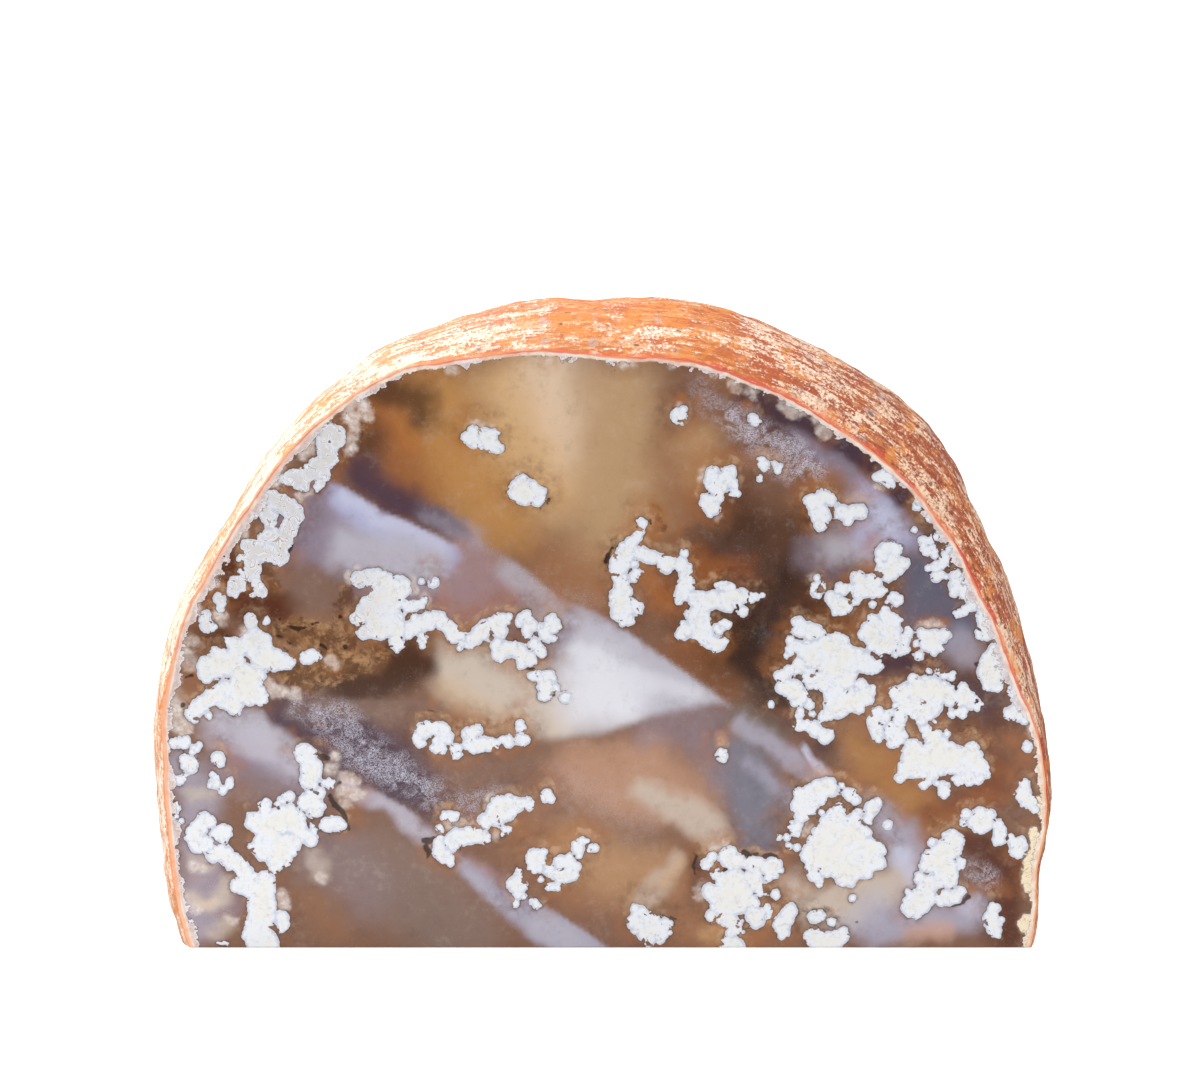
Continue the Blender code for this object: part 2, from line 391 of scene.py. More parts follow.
    [(835, 868, 7), (845, 882, 5), (852, 878, 6)],
    [(868, 873, 4)],
    [(810, 871, 5), (817, 879, 5.5), (820, 884, 3.5)],
    [(825, 868, 8)],
    [(888, 824, 4.5)],
    [(852, 898, 2.8)],
    [(966, 813, 4.5)],
    [(963, 824, 3)],
    [(980, 815, 6.5), (975, 822, 7.5), (985, 823, 8), (989, 815, 4.5), (980, 831, 4.5)],
    [(998, 826, 4.5), (1000, 833, 5.5), (998, 840, 4.5)],
    [(931, 843, 3.5)],
    [(950, 838, 7), (957, 841, 6), (955, 848, 7.5), (945, 851, 10), (930, 859, 8), (944, 866, 12), (950, 880, 8)],
    [(960, 861, 4.5), (960, 867, 3.5)],
    [(929, 866, 7)],
    [(919, 878, 5), (928, 885, 7.5), (938, 882, 6)],
    [(925, 896, 11), (915, 904, 11), (908, 908, 7), (917, 914, 5)],
    [(941, 897, 7), (952, 897, 6.5), (960, 892, 4.5)],
    [(908, 892, 3.5)],
    [(993, 907, 4.5), (992, 917, 7), (993, 928, 6.5), (995, 934, 4.5), (1000, 920, 3.5)],
    [(1025, 785, 4), (1023, 795, 6.5), (1030, 801, 8.5), (1034, 808, 6)],
    [(1012, 837, 4), (1015, 844, 5.5), (1018, 851, 7), (1022, 842, 5)],
]

# Notches and holes that show through the white.
HOLES = [
    [(247, 655, 2.5), (249, 662, 2.5)], [(244, 654, 1.5), (254, 664, 1.2)],
    [(276, 514, 2), (281, 521, 2.5), (279, 527, 1.5)],
    [(318, 479, 1.8), (322, 477, 1.0)],
    [(305, 813, 2), (307, 822, 2.5), (309, 830, 1.5)],
    [(884, 561, 2)],
    [(728, 491, 3), (725, 495, 2.5)],
    [(852, 595, 2.5)],
    [(813, 692, 3.5), (820, 693, 3), (806, 688, 2)],
    [(815, 707, 3.5), (819, 703, 2)], [(812, 720, 3), (817, 721, 2)],
    [(943, 779, 3), (941, 775, 2)],
    [(937, 893, 3), (941, 890, 1.5)],
    [(446, 831, 1.8), (442, 835, 1.0)],
    [(820, 670, 0.8), (812, 676, 1.0)],
    [(843, 690, 0.8), (850, 691, 0.8), (857, 691, 0.6)],
    [(818, 808, 1.2), (823, 808, 1.0)],
]

# Creamy, half-buried plumes that are less white.
CREAM = [
    [(184, 900, 5), (190, 906, 5), (200, 909, 4)], [(226, 917, 3), (234, 922, 4)], [(322, 878, 5)],
    [(188, 868, 3), (195, 866, 4), (203, 870, 3)],
    [(310, 442, 7), (306, 452, 5), (303, 458, 3)],
    [(343, 417, 5), (350, 416, 6), (357, 427, 6)],
    [(352, 438, 6), (351, 447, 6), (346, 452, 4)],
    [(361, 402, 6), (366, 410, 6), (371, 420, 4)],
    [(350, 402, 8)],
    [(278, 470, 7), (276, 482, 6)],
    [(306, 491, 5), (300, 497, 4)],
    [(243, 525, 4), (243, 533, 4)],
    [(262, 498, 7)],
    [(208, 570, 8), (211, 582, 7)],
    [(186, 641, 6), (193, 640, 5)],
    [(183, 655, 8), (189, 662, 8)],
    [(196, 608, 6)],
    [(218, 612, 6), (222, 622, 6)],
    [(246, 632, 7)],
    [(327, 659, 4), (334, 662, 5)],
    [(265, 684, 6), (276, 690, 6), (286, 692, 4), (296, 694, 4)],
    [(350, 578, 6), (356, 572, 4)],
    [(412, 580, 5), (414, 590, 6)],
    [(424, 597, 5)],
    [(450, 368, 6), (457, 371, 5)],
    [(474, 423, 4), (481, 427, 4)], [(492, 428, 4)],
    [(518, 478, 6)],
    [(679, 406, 4)],
    [(704, 473, 5), (703, 480, 4)],
    [(718, 517, 3)],
    [(548, 362, 3)],
    [(815, 577, 5)],
    [(922, 628, 5), (932, 624, 5), (942, 628, 4)],
    [(876, 481, 5), (880, 486, 4)],
    [(786, 406, 6), (794, 412, 6), (803, 412, 4)],
    [(733, 383, 5), (738, 388, 5), (746, 388, 4), (753, 392, 5), (752, 399, 3.5)],
    [(712, 373, 4), (720, 376, 4)],
    [(824, 430, 6.5)], [(816, 420, 4)],
    [(612, 360, 4), (622, 363, 5), (633, 362, 4)],
    [(672, 363, 4)],
    [(476, 360, 4)],
    [(427, 364, 5), (433, 367, 4)],
    [(343, 776, 5), (350, 778, 6), (357, 783, 4)],
    [(343, 793, 8), (360, 794, 5)], [(345, 803, 6)],
    [(330, 770, 7)], [(334, 756, 5)],
    [(281, 897, 7), (284, 905, 5)],
    [(173, 705, 9), (172, 722, 9), (185, 728, 8)],
    [(175, 680, 5)],
    [(452, 826, 8), (462, 822, 5), (470, 824, 4)],
    [(492, 800, 5), (490, 808, 5)],
    [(494, 836, 4)],
    [(704, 886, 6), (700, 896, 6)],
    [(714, 848, 5), (724, 846, 5)],
    [(803, 829, 6), (810, 825, 4)],
    [(1034, 830, 6), (1037, 845, 8), (1033, 860, 10), (1030, 875, 9), (1031, 888, 8), (1036, 900, 5)],
    [(1040, 908, 5), (1036, 916, 6), (1025, 921, 6), (1028, 930, 6), (1033, 941, 6)],
    [(1040, 800, 5), (1041, 815, 5)],
    [(1030, 720, 6), (1034, 735, 5)],
    [(990, 612, 7), (993, 622, 6)],
    [(1000, 645, 7), (1005, 655, 6)],
    [(1020, 690, 6), (1027, 705, 5)],
    [(965, 578, 8), (970, 588, 8)],
]

# Black mineral specks and lines.
DARK = [
    [(424, 840, 3), (430, 841, 3.5), (434, 838, 2)], [(426, 847, 3), (429, 852, 3), (427, 858, 1.5)],
    [(289, 626, 1.2), (298, 629, 2.6), (306, 627, 1.2)], [(312, 624, 1.5), (319, 622, 1.5)],
    [(277, 636, 1.2), (283, 637, 1.2), (290, 643, 1.2)], [(284, 648, 1.2), (289, 652, 1)], [(280, 619, 1.8)],
    [(322, 645, 2.5), (327, 649, 2)], [(309, 645, 1.5)], [(345, 647, 3.2)], [(340, 617, 1.8)],
    [(330, 796, 3), (335, 805, 3), (343, 812, 3), (347, 822, 2), (349, 829, 2)],
    [(323, 757, 4), (328, 758, 3)], [(317, 754, 1), (321, 757, 1.5)],
    [(292, 545, 2), (289, 550, 3)], [(227, 636, 2), (230, 639, 1)],
    [(436, 712, 1.5), (428, 710, 1.5)],
    [(744, 852, 3), (750, 856, 3.5), (757, 854, 2)], [(764, 857, 3), (770, 855, 2.5), (777, 857, 2)],
    [(697, 856, 1.5), (693, 865, 1.5), (695, 874, 2)], [(742, 865, 3)], [(726, 868, 3), (724, 872, 2)],
    [(740, 887, 1), (743, 880, 1), (743, 872, 1)], [(780, 887, 1.5), (776, 889, 1)],
    [(797, 787, 2), (803, 789, 1.5)], [(820, 783, 2)],
    [(850, 811, 1.5), (856, 806, 1.5), (860, 800, 1.5)], [(968, 897, 3), (962, 903, 2), (952, 906, 1.5)],
    [(996, 629, 3)], [(979, 663, 2), (976, 664, 1.5)], [(857, 922, 2)], [(671, 917, 1.5), (676, 919, 1)],
    [(650, 520, 1.5), (651, 524, 1)], [(637, 527, 1.5)],
    [(608, 555, 3), (606, 562, 2), (612, 548, 2)], [(310, 758, 1), (302, 765, 1.5)],
    [(549, 499, 1.2), (547, 503, 1.0)], [(540, 508, 1.0)], [(869, 621, 2), (873, 617, 1)],
    [(527, 669, 2), (534, 668, 1.5)], [(555, 690, 1.5), (554, 695, 1.5), (549, 698, 1)],
    [(460, 848, 1.5), (459, 853, 1)], [(192, 675, 2), (186, 677, 1.5)], [(183, 705, 3)],
    [(340, 782, 2), (336, 785, 1)], [(855, 690, 0.8)], [(822, 695, 1)], [(956, 590, 1.8)],
]

# ---- colours of the stone ---------------------------------------------------
PALETTE = {
    "black": "#291b16", "umber": "#4a3023", "chestnut": "#572f20", "sienna": "#925c38",
    "redbrown": "#7a4326", "brown": "#96694a", "cocoa": "#7c5a48", "amber": "#b6844e",
    "gold": "#caa376", "fawn": "#ab8360", "tan": "#bdab9c", "pinkbeige": "#dcc2a8", "beige": "#c3b4a6",
    "olive": "#b4926e", "rosytan": "#ad836a", "greybrown": "#6f635c", "mauvebrown": "#80675c",
    "rosemauve": "#9a7c7c", "mauve": "#8a7d8c", "plum": "#4f3b46", "ink": "#43323e",
    "slate": "#5f5e6f", "violetgrey": "#a39eae", "fog": "#b4b0bb", "lilac": "#adadcb",
    "mist": "#c6c8de", "dove": "#b6b0bd", "milk": "#d9d8df", "honey": "#a37341", "steel": "#74727f", "orange": "#b06a34", "peach": "#d09c7c",
}

# Lines where one cloud ends sharply against the next: across, down.
BAND_TOP = [(300, 440), (350, 470), (400, 497), (440, 507), (480, 540), (520, 565),
            (560, 598), (600, 614), (650, 648), (700, 684), (745, 714), (800, 742), (860, 780)]
MILK_FLOOR = [(400, 742), (540, 741), (600, 734), (650, 717), (712, 704), (780, 702)]
LILAC_TOP = [(200, 672), (250, 700), (300, 738), (345, 771), (400, 804), (440, 829),
             (480, 858), (515, 884), (560, 915), (600, 942), (640, 970)]
STREAK_TOP = [(300, 470), (335, 482), (380, 509), (450, 543), (500, 570)]
BLOB_TOP = [(620, 772), (645, 776), (682, 781), (706, 795), (726, 815), (738, 838), (745, 900)]
# The upper edge of a painted reflection of the floor in the polished face, with a paler haze painted below it.
FLOOR_REFLECTION_EDGE = [(100, 698), (800, 700)]
FAN_TOP = [(760, 400), (800, 430), (840, 452), (880, 490), (915, 520), (940, 560)]

# Clouds and bands of the clear agate, laid one over the other: colour,
# opacity, softness of the edge, the chain (across, down, radius) that it
# follows, and the lines that it stays over or under, with their sharpness.
CLOUDS = [
    # the amber field above the band
    ("sienna", 1.0, 50, [(395, 410, 30), (420, 470, 26)]),
    ("amber", 0.9, 50, [(440, 400, 20), (470, 450, 30), (500, 510, 26)]),
    ("gold", 0.95, 50, [(510, 385, 18), (530, 430, 30), (560, 480, 20)]),
    ("pinkbeige", 0.85, 46, [(555, 375, 20), (572, 410, 20), (580, 440, 12)]),
    ("olive", 0.95, 45, [(620, 390, 24), (625, 460, 30), (610, 540, 26)]),
    ("brown", 0.85, 36, [(560, 570, 20), (600, 595, 14)]),
    ("brown", 0.7, 40, [(690, 440, 16), (675, 510, 14)]),
    ("gold", 0.45, 30, [(700, 445, 10), (705, 470, 8)]),
    ("cocoa", 0.9, 36, [(730, 390, 16), (770, 410, 14), (760, 470, 20)]),
    ("umber", 0.95, 44, [(745, 530, 22), (720, 600, 34), (720, 670, 24)]),
    ("umber", 0.9, 40, [(800, 520, 14), (820, 590, 16), (800, 680, 16)]),
    ("black", 0.8, 34, [(785, 580, 12), (770, 640, 14), (775, 700, 10)]),
    ("redbrown", 0.75, 22, [(705, 572, 10), (738, 570, 8)]),
    ("orange", 0.6, 20, [(652, 575, 7), (668, 602, 8)]),
    ("brown", 0.5, 26, [(640, 540, 10), (625, 590, 8)]),
    ("sienna", 0.45, 26, [(680, 660, 14), (720, 690, 12)]),
    ("orange", 0.40, 16, [(404, 425, 8), (412, 440, 8)]),
    ("umber", 0.8, 20, [(388, 392, 10), (420, 400, 10), (424, 420, 5)]),
    ("umber", 0.7, 20, [(372, 440, 8), (366, 455, 8)]),
    ("plum", 0.9, 16, [(346, 462, 8), (372, 482, 12), (412, 508, 10), (455, 530, 6)]),
    ("violetgrey", 0.35, 10, [(420, 508, 5), (450, 522, 6), (478, 538, 5)]),
    # right of it: violet by the rim, a pale fan, slate and dark umber
    ("ink", 0.95, 22, [(750, 398, 6), (800, 425, 12), (860, 455, 14), (900, 500, 10)]),
    ("mauve", 0.8, 18, [(800, 442, 6), (845, 470, 9), (880, 496, 8)], ("under", FAN_TOP, 14)),
    ("cocoa", 0.5, 24, [(790, 500, 10), (810, 480, 8)]),
    ("mauve", 0.6, 24, [(812, 556, 8), (835, 570, 8)]),
    ("fog", 0.75, 24, [(840, 545, 8), (872, 552, 14)]),
    ("lilac", 0.85, 24, [(870, 500, 12), (880, 530, 18), (905, 540, 8)], ("under", FAN_TOP, 12)),
    ("mist", 0.5, 14, [(868, 506, 6), (895, 525, 8)]),
    ("slate", 0.95, 26, [(915, 575, 12), (930, 610, 22), (960, 625, 14)]),
    ("umber", 0.75, 20, [(835, 620, 8), (850, 575, 4), (878, 600, 6)]),
    ("violetgrey", 0.7, 16, [(958, 640, 8), (972, 655, 8)]),
    ("ink", 0.85, 22, [(870, 665, 8), (930, 662, 6), (985, 700, 10)]),
    ("ink", 0.8, 14, [(935, 530, 6), (948, 560, 4), (975, 585, 4)]),
    ("chestnut", 0.8, 22, [(1000, 720, 8), (985, 740, 8), (960, 720, 8)]),
    # the mauve band under the amber field
    ("mauve", 1.0, 22, [(300, 520, 24), (380, 560, 30), (460, 590, 24)], ("under", BAND_TOP, 16)),
    ("mauvebrown", 0.7, 26, [(300, 585, 14), (325, 605, 14)]),
    ("rosemauve", 0.9, 26, [(465, 560, 16), (500, 600, 22), (440, 600, 12)], ("under", BAND_TOP, 12)),
    ("plum", 0.70, 14, [(365, 478, 5), (400, 498, 8), (440, 516, 6), (468, 534, 3)], ("under", BAND_TOP, 12)),
    ("violetgrey", 0.30, 8, [(425, 515, 5), (450, 528, 5), (480, 545, 6)], ("under", BAND_TOP, 10)),
    ("lilac", 0.95, 14, [(338, 500, 10), (385, 526, 10), (445, 556, 9)], ("under", STREAK_TOP, 7)),
    ("mist", 0.55, 8, [(345, 497, 5), (390, 521, 6), (440, 548, 6)], ("under", STREAK_TOP, 5)),
    ("fog", 0.9, 22, [(345, 548, 14), (385, 556, 18), (430, 566, 12)]),
    ("mauve", 0.5, 20, [(300, 545, 10), (310, 500, 8)]),
    ("fog", 0.65, 14, [(510, 575, 8), (545, 600, 8)], ("under", BAND_TOP, 7)),
    # the milky zone
    ("beige", 1.0, 26, [(462, 672, 22), (500, 690, 28), (545, 715, 24)], ("over", MILK_FLOOR, 16)),
    ("fog", 1.0, 28, [(560, 625, 14), (610, 660, 32), (690, 706, 22)],
     ("under", BAND_TOP, 7), ("over", MILK_FLOOR, 14)),
    ("milk", 0.95, 40, [(595, 690, 26), (620, 700, 16)], ("under", BAND_TOP, 20), ("over", MILK_FLOOR, 12)),
    ("milk", 0.5, 10, [(575, 655, 6), (625, 672, 8), (690, 696, 5)], ("under", BAND_TOP, 9)),
    ("mauve", 0.45, 14, [(560, 640, 8), (545, 655, 8)]),
    ("gold", 0.35, 16, [(445, 690, 8), (500, 725, 8)]),
    # moss at the left, and the dark pocket beside it
    ("umber", 1.0, 20, [(345, 690, 12), (395, 668, 22), (424, 665, 6)]),
    ("brown", 0.8, 20, [(275, 635, 10), (310, 640, 16), (340, 640, 14), (370, 655, 6)]),
    ("amber", 0.45, 16, [(300, 632, 8), (345, 655, 8), (290, 680, 8)]),
    ("chestnut", 0.9, 20, [(240, 570, 12), (262, 600, 14), (290, 612, 6)]),
    ("chestnut", 0.6, 16, [(215, 640, 8), (205, 600, 8)]),
    # the lower field
    ("plum", 1.0, 24, [(290, 712, 16), (330, 740, 26), (400, 770, 30), (460, 800, 16)]),
    # painted reflection of the floor: a paler haze below its edge
    ("mauvebrown", 0.6, 20, [(300, 700, 8), (380, 705, 14), (430, 715, 12)], ("under", FLOOR_REFLECTION_EDGE, 3)),
    ("cocoa", 1.0, 34, [(470, 770, 20), (500, 800, 28), (560, 800, 20)]),
    ("rosytan", 1.0, 34, [(580, 770, 20), (640, 780, 30), (690, 800, 16)], ("under", MILK_FLOOR, 12)),
    ("cocoa", 0.6, 26, [(430, 740, 12), (520, 760, 12)]),
    ("mauve", 0.45, 18, [(650, 735, 12), (710, 728, 14)], ("under", MILK_FLOOR, 10)),
    ("greybrown", 0.7, 16, [(740, 722, 10), (775, 735, 12)], ("under", MILK_FLOOR, 8)),
    ("brown", 0.9, 34, [(530, 840, 18), (580, 880, 20), (690, 880, 16)]),
    ("fawn", 0.95, 34, [(580, 850, 18), (640, 880, 20)]),
    ("steel", 0.95, 26, [(735, 760, 16), (757, 798, 22), (760, 840, 10)]),
    ("mauve", 0.35, 14, [(700, 750, 8), (720, 780, 6)]),
    ("tan", 0.95, 13, [(634, 787, 3), (660, 797, 9), (690, 812, 15), (712, 832, 15)], ("under", BLOB_TOP, 5)),
    ("umber", 0.8, 16, [(770, 710, 6), (800, 722, 12), (828, 745, 12)]),
    ("ink", 0.5, 14, [(790, 722, 8), (820, 748, 10)]),
    ("violetgrey", 0.8, 8, [(742, 727, 6), (775, 752, 7), (812, 778, 5)]),
    ("violetgrey", 0.6, 8, [(750, 770, 4), (795, 800, 5)]),
    ("mist", 0.9, 5, [(803, 753, 1.5), (816, 768, 3), (834, 782, 2)]),
    ("brown", 0.95, 22, [(855, 725, 10), (870, 770, 18), (905, 800, 14)]),
    ("honey", 0.85, 20, [(860, 745, 8), (888, 785, 12), (935, 808, 8)]),
    ("redbrown", 0.9, 20, [(930, 812, 6), (980, 800, 12), (992, 770, 10)]),
    ("chestnut", 1.0, 20, [(980, 850, 14), (1005, 870, 16), (1000, 930, 14)]),
    ("sienna", 0.6, 14, [(1012, 735, 6), (1020, 765, 6), (1010, 790, 4)]),
    ("violetgrey", 0.9, 18, [(870, 808, 6), (900, 840, 14), (915, 885, 10)]),
    ("mist", 0.7, 12, [(895, 860, 8), (905, 880, 7)]),
    ("beige", 0.9, 20, [(790, 880, 6), (815, 905, 12), (850, 900, 18), (885, 890, 12)]),
    ("fog", 0.6, 18, [(850, 925, 10), (880, 905, 10)]),
    ("violetgrey", 0.9, 20, [(880, 925, 14), (930, 920, 12), (968, 915, 10)]),
    ("peach", 0.50, 14, [(918, 936, 6), (946, 932, 6)]),
    ("mist", 0.5, 10, [(958, 890, 4), (975, 905, 5)]),
    ("brown", 0.9, 18, [(690, 930, 14), (770, 925, 14)]),
    ("gold", 0.55, 10, [(708, 936, 6), (728, 928, 4)]),
    ("chestnut", 0.6, 12, [(697, 862, 6), (700, 890, 5)]),
    ("chestnut", 0.6, 12, [(775, 890, 6), (785, 900, 4)]),
    # left of the lower field, and the lilac band that crosses it
    ("mauvebrown", 1.0, 26, [(320, 850, 20), (400, 880, 40), (460, 930, 30)], ("under", LILAC_TOP, 10)),
    ("greybrown", 0.2, 26, [(415, 890, 14), (430, 940, 16)]),
    ("mauve", 0.24, 30, [(325, 850, 14), (365, 890, 20)], ("under", LILAC_TOP, 10)),
    ("brown", 0.40, 22, [(305, 900, 8), (335, 930, 10)]),
    ("mauve", 0.9, 24, [(235, 765, 20), (275, 775, 20), (310, 790, 10)], ("under", LILAC_TOP, 6)),
    ("mauvebrown", 0.6, 18, [(250, 790, 10), (290, 800, 10)]),
    ("dove", 0.9, 18, [(215, 722, 12), (255, 738, 12), (300, 764, 8)], ("under", LILAC_TOP, 6)),
    ("fog", 0.85, 9, [(225, 712, 8), (262, 728, 8), (300, 752, 5)], ("under", LILAC_TOP, 4)),
    ("dove", 0.85, 10, [(350, 786, 4), (395, 812, 6), (438, 838, 6)], ("under", LILAC_TOP, 4)),
    ("rosemauve", 0.8, 9, [(450, 852, 5), (505, 884, 7)]),
    ("violetgrey", 0.95, 9, [(470, 868, 3), (515, 905, 10), (590, 950, 22)], ("under", LILAC_TOP, 5)),
    ("fog", 0.5, 10, [(540, 920, 8), (580, 950, 10)], ("under", LILAC_TOP, 6)),
    ("violetgrey", 0.75, 18, [(178, 760, 10), (200, 800, 12), (196, 860, 14), (200, 920, 16)]),
    ("rosemauve", 0.4, 12, [(190, 875, 8), (225, 905, 8)]),
    ("mauve", 0.5, 14, [(205, 880, 8), (235, 900, 8)]),
    # a tan tail over a plume, and dark gaps between the plumes at the right
    ("tan", 0.65, 9, [(646, 904, 8), (662, 886, 8), (676, 862, 4)]),
    ("gold", 0.40, 6, [(668, 884, 3), (678, 864, 3)]),
    ("ink", 0.85, 12, [(868, 664, 7), (900, 662, 7), (935, 664, 6)]),
    ("black", 0.6, 14, [(760, 600, 10), (745, 650, 14), (780, 690, 10)]),
    # dark earth between the plumes at the left
    ("chestnut", 0.90, 12, [(222, 552, 7), (232, 590, 12), (255, 606, 12), (280, 600, 5)]),
    ("chestnut", 0.85, 8, [(206, 612, 4), (212, 628, 5), (228, 640, 4)]),
    ("chestnut", 0.80, 8, [(290, 482, 4), (272, 492, 4)]), ("chestnut", 0.8, 7, [(240, 508, 3), (232, 530, 4)]),
    # soft creamy clouds low at the left
    ("beige", 0.75, 9, [(188, 898, 4), (205, 902, 5), (222, 888, 7)]),
    ("pinkbeige", 0.55, 7, [(196, 904, 3), (212, 896, 3)]),
    ("beige", 0.60, 8, [(214, 930, 6), (232, 918, 5)]),
    ("beige", 0.60, 9, [(196, 797, 6), (210, 794, 4)]),
    ("beige", 0.50, 8, [(190, 866, 5), (202, 868, 4)]),
    ("beige", 0.55, 8, [(317, 848, 4), (322, 862, 5), (323, 874, 5)]),
    ("beige", 0.45, 10, [(172, 700, 6), (178, 728, 6)]),
    # rust glows over a few plumes
    ("orange", 0.35, 8, [(812, 486, 4)]),
    ("orange", 0.5, 8, [(680, 399, 4)]),
    ("orange", 0.5, 8, [(748, 408, 4)]),
    ("orange", 0.6, 8, [(930, 622, 5), (940, 624, 4)]),
    ("peach", 0.6, 8, [(724, 742, 4)]),
    ("orange", 0.5, 10, [(845, 580, 5), (870, 572, 5)]),
    ("sienna", 0.4, 14, [(980, 735, 8), (965, 738, 8)]),
    ("sienna", 0.5, 10, [(650, 505, 2), (652, 545, 3)]),
]
BASE_CLOUD = "cocoa"

# Mottled brown moss: opacity, softness, chain.
MOSS = [
    (1.0, 16, [(275, 632, 8), (310, 636, 14), (345, 640, 14), (352, 612, 6)]),
    (1.0, 16, [(285, 680, 8), (320, 672, 12), (360, 660, 10), (385, 648, 5)]),
    (0.5, 12, [(255, 616, 8), (285, 620, 5)]),
    (0.8, 10, [(262, 560, 6), (278, 580, 8)]),
    (0.8, 9, [(345, 590, 5), (352, 602, 5)]),
    (0.7, 8, [(610, 545, 4), (608, 560, 6), (612, 580, 4)]),
    (0.7, 8, [(650, 505, 3), (655, 530, 3)]),
    (0.7, 9, [(424, 722, 6), (440, 718, 6), (455, 730, 5)]),
    (0.6, 8, [(478, 724, 5), (500, 730, 5), (520, 715, 4)]),
    (0.7, 9, [(700, 855, 6), (697, 870, 6), (728, 842, 6)]),
    (0.7, 9, [(770, 893, 6), (782, 900, 5), (790, 895, 5)]),
    (0.7, 9, [(935, 820, 8), (950, 826, 6)]),
    (0.7, 9, [(970, 735, 9), (985, 742, 8)]),
    (0.6, 8, [(200, 640, 6), (215, 636, 6)]),
    (0.6, 8, [(300, 490, 4), (290, 492, 5)]),
    (0.7, 10, [(350, 440, 7), (362, 430, 6), (340, 460, 6)]),
    (0.6, 8, [(812, 910, 6), (835, 912, 5)]),
    (0.6, 8, [(795, 700, 6), (812, 712, 8), (826, 725, 5)]),
]

# Zones without brown glows round their plumes.
CALM = [
    [(180, 740, 26), (205, 820, 34), (205, 920, 40)], [(270, 790, 20), (290, 850, 16)],
    [(850, 905, 26), (910, 870, 22), (950, 920, 20)], [(345, 535, 22), (400, 560, 14)],
    [(560, 690, 24), (640, 690, 20)], [(900, 560, 22), (935, 610, 26), (975, 650, 18)],
    [(900, 668, 12), (880, 640, 10)], [(745, 770, 26)],
]

# Where the lacy white film lies, and where white sand lies: opacity, softness, chain.
FILM = [
    (1.0, 16, [(300, 702, 5), (332, 724, 17), (362, 748, 15), (395, 770, 13), (430, 792, 10), (462, 804, 6)]),
    (0.7, 14, [(475, 806, 10), (492, 796, 8)]),
    (1.2, 12, [(730, 418, 10), (762, 440, 16), (795, 462, 14), (810, 470, 8)]),
    (0.5, 14, [(700, 395, 10), (715, 410, 8)]),
    (0.15, 24, [(570, 790, 16), (640, 820, 14)]),
    (0.8, 8, [(975, 872, 6), (988, 885, 6)]),
]
SAND = [
    (1.0, 5, [(506, 562, 1), (532, 578, 3), (562, 606, 3)]),
    (0.7, 8, [(475, 540, 2), (505, 560, 3)]),
    (0.9, 6, [(640, 645, 1), (690, 678, 3), (728, 706, 2)]),
    (0.8, 8, [(462, 866, 2), (505, 912, 5)]),
    (0.6, 14, [(640, 600, 4), (560, 600, 10)]),
    (0.22, 26, [(740, 560, 20), (780, 640, 20)]),
    (0.35, 20, [(410, 560, 8), (470, 530, 12)]),
    (0.35, 16, [(600, 720, 10), (690, 700, 14)]),
    (0.8, 10, [(962, 862, 6), (985, 890, 6)]),
    (0.7, 12, [(745, 455, 12), (790, 440, 10)]),
    (0.6, 12, [(850, 500, 12), (900, 530, 10)]),
    (0.3, 24, [(440, 760, 14), (560, 800, 20)]),
    (0.7, 10, [(196, 868, 6), (225, 918, 8)]),
]


# ---- helpers ----------------------------------------------------------------
def linear(name):
    """A named colour, or one written as #rrggbb, as linear red, green, blue."""
    text = PALETTE.get(name, name).lstrip("#")
    values = [int(text[i:i + 2], 16) / 255.0 for i in (0, 2, 4)]
    return tuple(v / 12.92 if v <= 0.04045 else ((v + 0.055) / 1.055) ** 2.4 for v in values)


def ramp(value, low, high):
    """Smooth step of an array from 0 at low to 1 at high."""
    t = np.clip((value - low) / (high - low), 0.0, 1.0)
    return t * t * (3.0 - 2.0 * t)


def grain(points, size, seed=0.0):
    """Smooth noise, about -1 to 1, at points given as an (n, 2) array."""
    shift = Vector((seed * 7.31, seed * 3.17, seed * 5.77))
    return np.array([noise.noise(Vector((x / size, y / size, 0.0)) + shift)
                     for x, y in points])


def chain_distance(points, chains, reach):
    """Signed distance to chains of round lobes, positive inside, in sheet units."""
    best = np.full(len(points), -float(reach))
    x, y = points[:, 0], points[:, 1]
    for chain in chains:
        for index in range(max(len(chain) - 1, 1)):
            ax, ay, ar = chain[index]
            bx, by, br = chain[min(index + 1, len(chain) - 1)]
            big = max(ar, br) + reach
            near = np.nonzero((x > min(ax, bx) - big) & (x < max(ax, bx) + big)
                              & (y > min(ay, by) - big) & (y < max(ay, by) + big))[0]
            if not len(near):
                continue
            px, py = x[near] - ax, y[near] - ay
            dx, dy = bx - ax, by - ay
            length = dx * dx + dy * dy
            t = np.clip((px * dx + py * dy) / length, 0.0, 1.0) if length > 1e-9 else px * 0.0
            inside = ar + (br - ar) * t - np.hypot(px - dx * t, py - dy * t)
            best[near] = np.maximum(best[near], inside)
    return best


def round_lobes(chains, holes, spacing, seed):
    """Small round lobes that crowd along the inside edge of chains: (across, down, radius)."""
    step = spacing * 0.87
    rows, columns = int(620 / step), int(860 / spacing)
    row, column = np.mgrid[0:rows, 0:columns]
    spots = np.column_stack([(170 + (column + 0.5 * (row % 2)) * spacing).ravel(),
                             (340 + row * step).ravel()]).astype(float)
    dice = np.random.RandomState(seed)
    spots += dice.uniform(-0.34, 0.34, spots.shape) * spacing
    swell = dice.uniform(0.0, 1.0, len(spots))
    depth = np.minimum(chain_distance(spots, chains, 12.0), -chain_distance(spots, holes, 12.0))
    keep = (depth > 0.8) & (depth < 8.5)
    radius = np.clip(depth[keep] + 0.1 + 3.0 * swell[keep] ** 2, 1.9, 8.0)
    lobes = list(zip(spots[keep, 0], spots[keep, 1], radius))
    lobes += [tuple(chain[0]) for chain in chains if len(chain) == 1]
    return lobes


